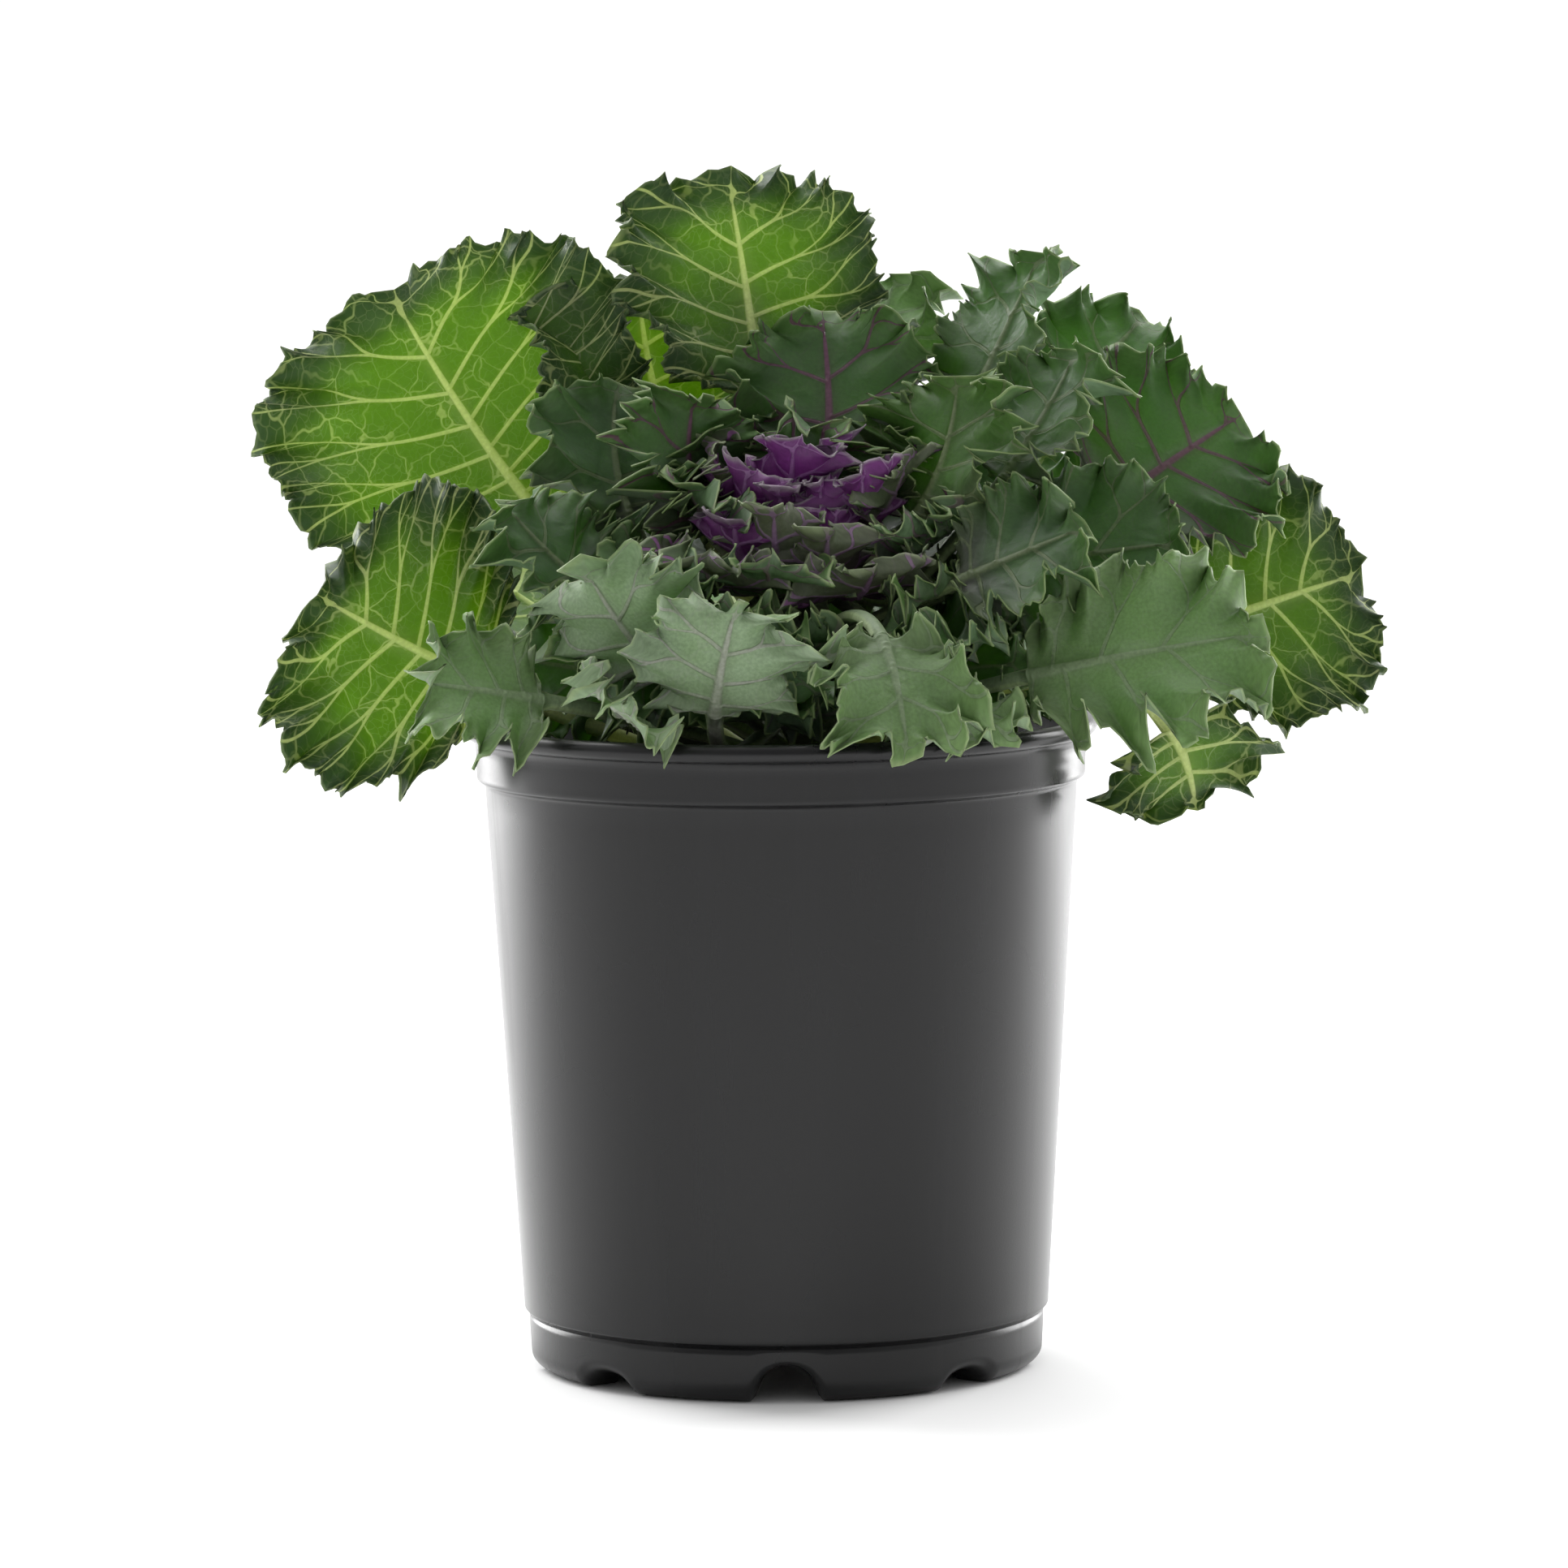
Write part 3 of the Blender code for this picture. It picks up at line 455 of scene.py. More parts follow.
def frilled_rays(leaf, rays, waves):
    """How far each point of the waved leaf lies along its ray, above it and beside it."""
    r, length = rays.r, rays.length
    onset = ease(rays.b, 0.0, 0.16)
    folds = band_share(r, length, FOLD_BAND, 1.7) * onset
    crimps = band_share(r, length, CRIMP_BAND, 1.3, 0.5) * onset
    ruffles = band_share(r, length, RUFFLE_BAND, 1.0, 0.3) * onset
    teeth = band_share(r, length, TOOTH_BAND, 1.0) * onset
    # the outer band curls up, and crimps and ruffles bend it up and down
    band = np.minimum(0.55 * length, CURL_BAND * MM)
    theta = math.radians(leaf.curl) * (1 + 0.6 * waves.droop) * onset
    curl = theta * np.clip((r - 1) * length / band + 1, 0, 1)
    wave = waves.bend * (crimps * np.sin(waves.crimp) + RUFFLE_SHARE * ruffles * np.sin(waves.ruffle))
    swing = waves.bend * np.hypot(crimps, RUFFLE_SHARE * ruffles)
    run, rise = bend_out(curl, wave, swing, r * length)
    # folds lift the band, and lobes and teeth reach out from it
    frill = np.minimum(SWING * leaf.frill * MM, WAVE_SHARE * waves.cycle)
    lift = frill * waves.swell * folds * np.sin(waves.fold) + TOOTH * MM * teeth * np.sin(waves.tooth + 1.4)
    small_lobe = (FRILLED_LOBE if leaf.crimp >= FRILLED else PLAIN_LOBE) * abs(leaf.lobe)
    lobes = leaf.lobe * scallop(waves.fold + 0.6) + small_lobe * scallop(2 * waves.crimp)
    fine_lobes = TOOTH * teeth * scallop(waves.tooth) + small_lobe * ruffles * scallop(waves.ruffle)
    reach = 0.25 * frill * folds * np.cos(waves.fold + 0.6) + lobes * MM * crimps + fine_lobes * MM
    # points move sideways towards the crests, which rounds them
    shift = -SWAY * waves.cycle * folds * np.sin(2 * waves.fold)
    shift = shift - SWAY * waves.bend * waves.crimp_span * crimps * np.sin(2 * waves.crimp)
    shift = shift - SWAY * waves.bend * RUFFLE_SPAN * MM * ruffles * np.sin(2 * waves.ruffle)
    return run + reach - np.sin(curl) * lift, rise + np.cos(curl) * lift, shift * rays.sign


def lay_along(line, leaf, rays, flat, height, shift):
    """The leaf's points, bowed across and laid along its midrib."""
    distance, centre, across, up = line
    flat_x = rays.out_x * flat - rays.out_y * shift
    flat_y = rays.start + rays.out_y * flat + rays.out_x * shift
    bow = math.radians(leaf.cup) / (leaf.width * MM / 2)
    turn = bow * flat_x
    away = rays.sign * (np.sin(turn) / bow - height * np.sin(turn))
    above = (1 - np.cos(turn)) / bow + height * np.cos(turn)
    at = np.clip(flat_y, 0, distance[-1])
    middle, side, top = (
        np.stack([np.interp(at, distance, path[:, j]) for j in range(3)], -1)
        for path in (centre, across, up)
    )
    return middle + unit(side) * away[..., None] + unit(top) * above[..., None]


def leaf_veins(leaf, rays, flat_x, flat_y):
    """The side veins, counted from one base round the tip to the other base, and their spacing."""
    veins = max(FEWEST_VEINS, round(leaf.width / VEIN_SPACING))
    bend = 0.16 * np.sin(5.0 * rays.r + leaf.seed) * rays.r
    count = np.where(rays.sign > 0, rays.b * veins, veins + (veins + 0.4) * (1 - rays.b)) + bend
    across_ray = np.gradient(flat_x, axis=1) * rays.out_y - np.gradient(flat_y, axis=1) * rays.out_x
    return count, np.abs(across_ray) / np.maximum(np.abs(np.gradient(count, axis=1)), 1e-4)


def half_thickness(rays, count, spacing):
    """Half the leaf's thickness: a thin sheet with raised side veins, a rib and a round stalk."""
    r = rays.r
    vein_half = (1.0 - 0.7 * r) * MM
    vein_ridge = ease(1 - forked(count, r) * spacing / vein_half, 0, 1) * (1 - r) ** 0.7 * VEIN_THICK
    across_rib = np.sqrt(np.clip(1 - (r * rays.length / rays.rib) ** 2, 0, 1))
    ridge = (0.4 + RIB_THICK * (1 - rays.k) ** 0.8) * across_rib
    stalk = np.maximum(SHEET_HALF, STALK_THICK * np.sqrt(np.clip(1 - 0.9 * r**2, 0, 1)))
    return np.where(rays.b > 0, SHEET_HALF + vein_ridge + ridge, stalk) * MM


def leaf_surface(leaf):
    """The leaf's middle surface as a grid of points, its half thickness and what its material needs."""
    *line, stalk, blade = midrib(leaf)
    rays = leaf_rays(leaf, stalk, blade)
    points = lay_along(line, leaf, rays, *frilled_rays(leaf, rays, margin_waves(leaf, rays)))
    r, b, length = rays.r, rays.b, rays.length
    flat_x, flat_y = rays.out_x * r * length, rays.start + rays.out_y * r * length
    count, spacing = leaf_veins(leaf, rays, flat_x, flat_y)
    on_rib = np.where(b > 0.002, 1 - ease(r * length / rays.rib, 0.6, 1.1), 1.0)
    one = np.ones_like(count)
    facts = {
        "flat": np.stack([rays.sign * flat_x / MM, flat_y / MM, SEED_SHIFT * leaf.seed * one], -1),
        "vein": np.stack([count, r * one, spacing / MM], -1),
        "place": np.stack([(1 - r) * length / MM, on_rib, 0 * one], -1),
        "share": np.stack([b * one, r * one, 0 * one], -1),
    }
    return points, half_thickness(rays, count, spacing), facts


def grid_faces(rows, columns):
    """Quads of the leaf's grid and the loop round its border. Both sides share the first row, the midrib."""
    width = 2 * columns + 1
    index = np.arange(rows * width).reshape(rows, width)
    index[0, :columns] = index[0, :columns:-1]
    corners = (index[:-1, :-1], index[1:, :-1], index[1:, 1:], index[:-1, 1:])
    border = np.concatenate([index[-1], index[-2::-1, -1], index[1:-1, 0]])
    return np.stack(corners, -1).reshape(-1, 4), border


def vertex_normals(points, faces):
    corner = points[faces]
    face_normal = np.cross(corner[:, 2] - corner[:, 0], corner[:, 3] - corner[:, 1])
    normal = np.zeros_like(points)
    for j in range(faces.shape[1]):
        np.add.at(normal, faces[:, j], face_normal)
    return unit(normal)


def add_object(name, data):
    """A new object in the scene."""
    obj = bpy.data.objects.new(name, data)
    bpy.context.scene.collection.objects.link(obj)
    return obj


def add_mesh(name, points, quads, facts=None):
    """An object of smooth quads at the pot's axis. facts are named values for each of its points."""
    mesh = bpy.data.meshes.new(name)
    mesh.vertices.add(len(points))
    mesh.vertices.foreach_set("co", np.asarray(points + POT_AXIS, np.float32).ravel())
    mesh.loops.add(quads.size)
    mesh.loops.foreach_set("vertex_index", quads.astype(np.int32).ravel())
    mesh.polygons.add(len(quads))
    mesh.polygons.foreach_set("loop_start", np.arange(0, quads.size, quads.shape[1], dtype=np.int32))
    mesh.update(calc_edges=True)
    mesh.shade_smooth()
    for key, values in (facts or {}).items():
        layer = mesh.attributes.new(key, "FLOAT_VECTOR", "POINT")
        layer.data.foreach_set("vector", np.asarray(values, np.float32).ravel())
    return add_object(name, mesh)


def dress(obj, nodes, material):
    """Finishes a piece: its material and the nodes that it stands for."""
    obj.data.materials.append(material)
    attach(obj, "root")
    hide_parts(*nodes)


def add_leaf(leaf, nodes):
    """A closed leaf: its middle surface thickened both ways, standing for the part's nodes."""
    points, thick, facts = leaf_surface(leaf)
    rows, width = points.shape[:2]
    faces, border = grid_faces(rows, width // 2)
    used, faces = np.unique(faces, return_inverse=True)
    faces = faces.reshape(-1, 4)
    border = np.searchsorted(used, border)
    middle = points.reshape(-1, 3)[used]
    offset = vertex_normals(middle, faces) * thick.reshape(-1, 1)[used]
    count = len(middle)
    ahead = np.roll(border, -1)
    walls = np.stack([ahead, border, border + count, ahead + count], -1)
    quads = np.vstack([faces, faces[:, ::-1] + count, walls])
    both = {key: np.tile(values.reshape(-1, 3)[used], (2, 1)) for key, values in facts.items()}
    both["share"][count:, 2] = 1.0
    obj = add_mesh("fine_" + leaf.name, np.vstack([middle + offset, middle - offset]), quads, both)
    dress(obj, nodes, leaf_material(leaf.look))


class Nodes:
    """A new material, with short calls for the shader nodes used here."""

    def __init__(self, name):
        self.material = bpy.data.materials.new(name)
        self.material.use_nodes = True
        self.tree = self.material.node_tree
        self.shader = self.tree.nodes["Principled BSDF"]
        self.output = self.tree.nodes["Material Output"]

    def feed(self, socket, value):
        if isinstance(value, bpy.types.NodeSocket):
            self.tree.links.new(value, socket)
        elif isinstance(value, tuple) and socket.type == "RGBA":
            socket.default_value = (*value, 1.0)
        else:
            socket.default_value = value

    def add(self, kind, settings, inputs):
        node = self.tree.nodes.new("ShaderNode" + kind)
        for key, value in settings.items():
            setattr(node, key, value)
        for key, value in inputs.items():
            self.feed(node.inputs[key], value)
        return node

    def fact(self, name):
        return self.add("Attribute", {"attribute_name": name}, {}).outputs["Vector"]

    def parts(self, vector):
        node = self.add("SeparateXYZ", {}, {0: vector})
        return tuple(node.outputs)

    def math(self, operation, a, b=0.0):
        return self.add("Math", {"operation": operation}, {0: a, 1: b}).outputs[0]

    def ramp(self, value, low, high, start=0.0, end=1.0):
        """start up to low, end from high on, and smooth between."""
        inputs = {0: value, 1: low, 2: high, 3: start, 4: end}
        return self.add("MapRange", {"interpolation_type": "SMOOTHSTEP"}, inputs).outputs[0]

    def mix(self, share, a, b):
        inputs = {0: share, 6: a, 7: b}
        return self.add("Mix", {"data_type": "RGBA"}, inputs).outputs[2]

    def noise(self, vector, scale, detail=2.0, rough=0.5, output=0):
        """Noise as one value, or in three parts where output is 1."""
        inputs = {"Vector": vector, "Scale": scale, "Detail": detail, "Roughness": rough}
        return self.add("TexNoise", {}, inputs).outputs[output]

    def cell_edge(self, vector, scale):
        """Distance from the nearest border between cells, in cells."""
        settings = {"feature": "DISTANCE_TO_EDGE", "voronoi_dimensions": "3D"}
        return self.add("TexVoronoi", settings, {"Vector": vector, "Scale": scale}).outputs[0]

    def coat(self, colour, rough, sheen=0.5):
        """Sets the surface's colour, roughness and sheen."""
        for key, value in (("Base Color", colour), ("Roughness", rough), ("Specular IOR Level", sheen)):
            self.feed(self.shader.inputs[key], value)

    def bump(self, height, distance, strength):
        inputs = {"Height": height, "Distance": distance, "Strength": strength}
        self.feed(self.shader.inputs["Normal"], self.add("Bump", {}, inputs).outputs[0])


def side_veins(nodes, count, ray, spacing):
    """1 on the forked side veins and 0 between them, matching the ridges in the leaf's own mesh."""
    near = nodes.math("FRACT", nodes.math("ADD", count, 0.5))
    near = nodes.math("ABSOLUTE", nodes.math("SUBTRACT", near, 0.5))
    for low, high, apart in FORKS:
        near = nodes.math("ABSOLUTE", nodes.math("SUBTRACT", near, nodes.ramp(ray, low, high, 0.0, apart)))
    away = nodes.math("MULTIPLY", near, spacing)
    half = nodes.ramp(ray, 0.0, 1.0, 0.70, 0.20)
    return nodes.ramp(nodes.math("DIVIDE", away, half), 0.7, 1.3, 1.0, 0.0)


def vein_net(nodes, look, flat, patch):
    """A faint net of fine veins, and the distance from its borders for the puffed blade between them."""
    stray = nodes.noise(flat, NET_BEND_SCALE, output=1)
    stray = nodes.add("VectorMath", {"operation": "SCALE"}, {0: stray, "Scale": NET_BEND})
    strayed = nodes.add("VectorMath", {"operation": "ADD"}, {0: flat, 1: stray.outputs[0]}).outputs[0]
    cells = nodes.cell_edge(strayed, NET_SCALE)
    small_cells = nodes.cell_edge(strayed, SMALL_NET_SCALE)
    drawn = nodes.math("MULTIPLY", nodes.ramp(patch, 0.38, 0.60, 0.35, 1.0), look.net)
    coarse = nodes.math("MULTIPLY", nodes.ramp(cells, 0.010, 0.040, 1.0, 0.0), drawn)
    fine = nodes.math("MULTIPLY", nodes.ramp(small_cells, 0.010, 0.07, 0.28, 0.0), drawn)
    return nodes.math("MAXIMUM", coarse, fine), cells


def leaf_colour(nodes, look, veins, near_margin, patch, fine):
    """Colour of the upper side and the underside, with a purple base and a thin pale edge."""
    edge = nodes.parts(nodes.fact("place"))[0]
    along, _, under = nodes.parts(nodes.fact("share"))
    top = nodes.mix(near_margin, look.blade, look.margin)
    top = nodes.mix(nodes.ramp(patch, 0.35, 0.7, 0.0, 0.35), top, look.margin)
    base = nodes.math("ADD", along, nodes.math("MULTIPLY", patch, 0.35))
    flushed = nodes.ramp(base, 0.30, 0.78, look.flush, 0.0)
    top = nodes.mix(flushed, top, FLUSH)
    top = nodes.mix(veins, top, look.vein)
    below = nodes.mix(nodes.math("MULTIPLY", veins, 0.8), look.under, look.under_vein)
    below = nodes.mix(nodes.ramp(patch, 0.3, 0.75, 0.0, 0.4), below, look.margin)
    below = nodes.mix(nodes.math("MULTIPLY", flushed, 0.7), below, FLUSH)
    colour = nodes.mix(under, top, below)
    colour = nodes.mix(nodes.ramp(edge, 0.15, 1.1, 0.68, 0.0), colour, look.edge)
    speckle = nodes.ramp(fine, 0.3, 0.7, 0.82, 1.12)
    return nodes.add("VectorMath", {"operation": "SCALE"}, {0: colour, "Scale": speckle}).outputs[0]


def leaf_relief(nodes, cells, main_veins, fine):
    """Veins as grooves on the upper side and ridges below, with the blade puffed up between them."""
    under = nodes.parts(nodes.fact("share"))[2]
    puff = nodes.ramp(cells, 0.0, 0.30)
    relief = nodes.math("SUBTRACT", puff, nodes.math("MULTIPLY", main_veins, 1.1))
    turned = nodes.math("SUBTRACT", 1.0, nodes.math("MULTIPLY", under, 2.0))
    relief = nodes.math("MULTIPLY", relief, turned)
    return nodes.math("ADD", relief, nodes.math("MULTIPLY", fine, 0.35))


def let_light_through(nodes, look, veins, near_margin):
    """Mixes in the light that comes through the leaf, less at its margin."""
    vein_glow = tuple(min(1.0, 1.6 * part) for part in look.vein)
    glow = nodes.mix(nodes.math("MULTIPLY", near_margin, 0.75), look.glow, look.margin)
    glow = nodes.mix(nodes.math("MULTIPLY", veins, 0.6), glow, vein_glow)
    through = nodes.add("BsdfTranslucent", {}, {"Color": glow})
    inputs = {0: look.through, 1: nodes.shader.outputs[0], 2: through.outputs[0]}
    nodes.feed(nodes.output.inputs["Surface"], nodes.add("MixShader", {}, inputs).outputs[0])


def leaf_material(look_name):
    """Waxy leaf with pale veins, a net of fine ones, a darker margin and light that comes through."""
    if look_name in bpy.data.materials:
        return bpy.data.materials[look_name]
    look = LOOKS[look_name]
    nodes = Nodes(look_name)
    flat = nodes.fact("flat")
    count, ray, spacing = nodes.parts(nodes.fact("vein"))
    edge, rib, _ = nodes.parts(nodes.fact("place"))
    patch = nodes.noise(flat, PATCH_SCALE, 3.0)
    fine = nodes.noise(flat, SPECKLE_SCALE, 3.0)
    net, cells = vein_net(nodes, look, flat, patch)
    lateral = side_veins(nodes, count, ray, spacing)
    veins = nodes.math("MAXIMUM", rib, nodes.math("MULTIPLY", lateral, 0.85))
    veins = nodes.math("MAXIMUM", veins, net)
    inwards = nodes.math("ADD", edge, nodes.math("MULTIPLY", patch, 16.0))
    near_margin = nodes.ramp(inwards, 7.0, look.band, 1.0, 0.0)
    colour = leaf_colour(nodes, look, veins, near_margin, patch, fine)
    nodes.coat(colour, nodes.ramp(fine, 0.3, 0.7, look.rough - 0.06, look.rough + 0.1), WAX_SHEEN)
    relief = leaf_relief(nodes, cells, nodes.math("MAXIMUM", lateral, rib), fine)
    nodes.bump(relief, 0.00035, 0.7)
    let_light_through(nodes, look, veins, near_margin)
    return nodes.material


def skirt_leaves():
    """Low shaded leaves all round, over the soil and the pot's rim."""
    for i in range(SKIRT):
        azimuth = SKIRT_FIRST + 360 * i / SKIRT
        base = (azimuth, SKIRT_BASE[0], SKIRT_BASE[1] + 2 * (i % 3))
        tip = (azimuth + 4, SKIRT_TIP[0], SKIRT_TIP[1] + SKIRT_RISE * (i % 2))
        roll = SKIRT_ROLL * math.cos(math.radians(azimuth))
        shape = dict(width=58, roll=roll, cup=12, curl=20, frill=5, waves=9, lobe=2.0, crimp=52)
        yield Leaf(f"skirt_{i}", 0.2, base, tip, seed=SKIRT_SEED + i, look="dark", **shape)


def ring_leaves(ring):
    """A ring's leaves, each a golden turn from the last and a little further out."""
    for i in range(ring.count):
        azimuth = ring.first + GOLDEN_TURN * i
        reach, rise = ring.gain[0] * i, ring.gain[1] * i
        base = crown_point(azimuth, ring.base[0] + reach, ring.base[1])
        tip = crown_point(azimuth, ring.tip[0] + reach, ring.tip[1] + rise)
        width = ring.width + RING_GROWTH * i
        shape = (width, 0, ring.cup, ring.curl, RING_FRILL, ring.waves, ring.seed + i)
        look = ring.looks[i % len(ring.looks)]
        yield Leaf(f"{ring.name}_{i}", ring.root, base, tip, *shape, look, ring.lobe, ring.crimp)


def arc(centre, radius, start, end, count):
    """Points of an arc in a profile, angles in degrees."""
    turns = (math.radians(start + (end - start) * i / (count - 1)) for i in range(count))
    return [(centre[0] + radius * math.cos(t), centre[1] + radius * math.sin(t)) for t in turns]


def line(start, end, count):
    """Points from start up to but not including end."""
    return [tuple(np.add(start, np.subtract(end, start) * i / count)) for i in range(count)]


def pot_profile():
    """Closed section of the pot with rounded corners, up the outside from the foot and down the inside."""
    lip = RIM_DEPTH / 2
    floor_top = FLOOR + FLOOR_THICK
    inner_foot, inner_wall, inner_band = (r - WALL for r in (WALL_FOOT_RADIUS, WALL_TOP_RADIUS, BAND_RADIUS))
    outside = arc((FOOT_INNER + 1.5, 1.5), 1.5, 180, 270, 5)
    outside += arc((FOOT_OUTER, 6.5), 6.5, 270, 360, 12)
    outside += line((BASE_RADIUS, 7.0), (BASE_RADIUS, WALL_FOOT - 2.5), 6)
    outside += arc((BASE_RADIUS + 0.2, WALL_FOOT - 1.6), 0.9, 250, 90, 5)[::-1]
    outside += arc((WALL_FOOT_RADIUS - 1.0, WALL_FOOT + 0.6), 1.2, 270, 355, 5)
    outside += line((WALL_FOOT_RADIUS + 0.2, WALL_FOOT + 2), (WALL_TOP_RADIUS, BAND_FOOT - 3.0), 30)
    outside += arc((WALL_TOP_RADIUS + 1.7, BAND_FOOT - 2.4), 1.7, 180, 100, 5)
    outside += arc((BAND_RADIUS - 1.2, BAND_FOOT + 0.8), 1.2, 280, 360, 5)
    outside += line((BAND_RADIUS, BAND_FOOT + 1.5), (BAND_RADIUS + 0.3, POT_HEIGHT - RIM_DEPTH - 0.6), 6)
    rim = arc((RIM_RADIUS - lip, POT_HEIGHT - lip), lip, -95, 90, 14)
    inside = [
        (BAND_RADIUS - 1.0, POT_HEIGHT - 0.4),
        (inner_band, POT_HEIGHT - 1.6),
        (inner_band, POT_HEIGHT - 4.0),
        (inner_band, BAND_FOOT + 1.0),
        (inner_wall, BAND_FOOT - 3.0),
    ]
    inside += line((inner_wall, BAND_FOOT - 4.0), (inner_foot, floor_top + 3.0), 12)
    inside += [
        (inner_foot, floor_top + 2.0),
        (inner_foot - 3.0, floor_top),
        *((ring, floor_top) for ring in FLOOR_RINGS[::-1]),
        *((ring, FLOOR) for ring in FLOOR_RINGS),
        (FOOT_INNER - 3.0, FLOOR),
        (FOOT_INNER - 0.6, FLOOR - 0.8),
        (FOOT_INNER, FLOOR - 2.5),
    ]
    inside += line((FOOT_INNER, FLOOR - 3.0), (FOOT_INNER, 1.8), 6)
    return outside + rim + inside


def revolve(profile, sides):
    """Points and quads of a closed profile of (radius, height) turned round Z."""
    turn = 2 * math.pi * np.arange(sides) / sides
    radius, height = np.array(profile).T[:, :, None]
    points = np.stack([radius * np.cos(turn), radius * np.sin(turn), height + 0 * turn], -1) * MM
    index = np.arange(len(profile) * sides).reshape(len(profile), sides)
    above, beside = np.roll(index, -1, 0), np.roll(index, -1, 1)
    quads = np.stack([index, beside, np.roll(above, -1, 1), above], -1)
    return points.reshape(-1, 3), quads.reshape(-1, 4)


def raise_arches(points):
    """Lifts the foot ring into a round arch between each two feet, every other one lower."""
    turn = np.degrees(np.arctan2(points[:, 1], points[:, 0]))
    spacing = 360 / ARCHES
    number = np.round((turn - FIRST_ARCH) / spacing)
    from_middle = np.abs(np.radians(turn - FIRST_ARCH - number * spacing)) * FOOT_OUTER
    tallest = ARCH_HEIGHT * np.where(number % 2 == 0, 1.0, SMALL_ARCH_SHARE)
    reach = np.hypot(points[:, 0], points[:, 1]) / MM
    limit = np.interp(reach, (FOOT_INNER, BASE_RADIUS), (FLOOR - 3.0, WALL_FOOT - 2.5))
    bow = np.sqrt(np.clip(1 - (from_middle / ARCH_HALF) ** 2, 0, 1))
    arch = np.minimum(tallest * bow, 0.93 * limit)
    height = points[:, 2] / MM
    lifted = height + arch * (1 - height / limit)
    points[:, 2] = np.where((height < limit) & (reach > FOOT_INNER - 0.1), lifted, height) * MM
    return points


def add_pot():
    points, quads = revolve(pot_profile(), POT_SIDES)
    pot = add_mesh("pot_moulding", raise_arches(points), quads)
    dress(pot, ["pot"], pot_material())


def pot_material():
    """Charcoal plastic: soft sheen, faint cloudiness, fine mould texture and light scuffs."""
    nodes = Nodes("pot_plastic")
    place = nodes.add("TexCoord", {}, {}).outputs["Object"]
    cloud = nodes.noise(place, 9.0, 4.0)
    grain = nodes.noise(place, 1400.0, 2.0)
    streak = nodes.add("Mapping", {}, {"Vector": place, "Scale": (60.0, 60.0, 3.0)}).outputs[0]
    scuff = nodes.noise(streak, 1.0, 5.0, 0.6)
    colour = nodes.mix(nodes.ramp(cloud, 0.3, 0.7), (0.0038, 0.0038, 0.0042), (0.0056, 0.0056, 0.0060))
    colour = nodes.mix(nodes.ramp(scuff, 0.50, 0.85, 0.0, 0.30), colour, (0.020, 0.020, 0.022))
    rough = nodes.ramp(cloud, 0.25, 0.75, 0.24, 0.32)
    rough = nodes.math("ADD", rough, nodes.ramp(scuff, 0.55, 0.80, 0.0, 0.12))
    nodes.coat(colour, rough, PLASTIC_SHEEN)
    nodes.bump(grain, 0.00003, 0.5)
    return nodes.material


def soil_profile():
    """Section of the soil from its axis at the bottom, up the pot's wall and over the top to the axis."""
    gap = WALL + SOIL_GAP
    foot = FLOOR + FLOOR_THICK + SOIL_GAP
    corner = WALL_FOOT_RADIUS - gap
    slope = (WALL_TOP_RADIUS - WALL_FOOT_RADIUS) / (BAND_FOOT - WALL_FOOT)
    edge = WALL_FOOT_RADIUS + slope * (SOIL_TOP - WALL_FOOT) - gap
    below = [(0.5, foot), (60.0, foot), (corner - 3.5, foot)]
    wall = [(corner, foot + 3.0), (edge - 1.2, SOIL_TOP - 3.0)]
    step = (edge - 2.0) / SOIL_RINGS
    top = [(edge - 1.5 - step * i, SOIL_TOP) for i in range(SOIL_RINGS)]
    return below + wall + top + [(0.5, SOIL_TOP)]


def soil_body():
    """Points and quads of the potting mix with a crumbly top."""
    points, quads = revolve(soil_profile(), SOIL_SIDES)
    for point in points:
        if point[2] > (SOIL_TOP - 0.5) * MM:
            x, y = point[0] / MM, point[1] / MM
            bumps = sum(rise * noise.noise((x / span, y / span, 0.5)) for rise, span in SOIL_BUMPS)
            point[2] += min(bumps, 2.0) * MM
    return points, quads


def crumb_shape():
    """Points and quads of a rounded cube, from which each crumb is squeezed and turned."""
    cube = bmesh.new()
    bmesh.ops.create_cube(cube, size=2.0)
    bmesh.ops.subdivide_edges(cube, edges=cube.edges, cuts=1, use_grid_fill=True)
    points = unit(np.array([vertex.co for vertex in cube.verts]))
    cube.verts.index_update()
    quads = np.array([[vertex.index for vertex in face.verts] for face in cube.faces])
    cube.free()
    return points, quads


def crumbs():
    """Bits of bark and perlite scattered over the soil, with how pale each one is."""
    rng = np.random.default_rng(12)
    ball, ball_quads = crumb_shape()
    points, quads, pale = [], [], []
    for i in range(CRUMBS):
        reach = CRUMB_REACH * math.sqrt(rng.random())
        turn = 2 * math.pi * rng.random()
        light = rng.random() < PERLITE_SHARE
        size = rng.uniform(*(PERLITE_SIZES if light else CRUMB_SIZES))
        squeeze = rng.uniform(0.8 if light else 0.35, 1.0, 3)
        lumpy = ball * (1 + 0.22 * np.sin(ball @ rng.uniform(-4, 4, (3, 1)) + i))
        spin = np.linalg.qr(rng.normal(size=(3, 3)))[0]
        spin *= np.sign(np.linalg.det(spin))
        place = np.array([reach * math.cos(turn), reach * math.sin(turn), SOIL_TOP + 0.15 * size])
        quads.append(ball_quads + len(ball) * i)
        points.append(((lumpy * squeeze * size) @ spin.T + place) * MM)
        pale.append(np.tile([float(light), rng.random(), 0.0], (len(ball), 1)))
    return np.vstack(points), np.vstack(quads), np.vstack(pale)


def add_soil():
    body, body_quads = soil_body()
    bits, bit_quads, pale = crumbs()
    quads = np.vstack([body_quads, bit_quads + len(body)])
    facts = {"pale": np.vstack([np.tile([0.0, 0.5, 0.0], (len(body), 1)), pale])}
    soil = add_mesh("potting_mix", np.vstack([body, bits]), quads, facts)
    dress(soil, ["soil"], soil_material())


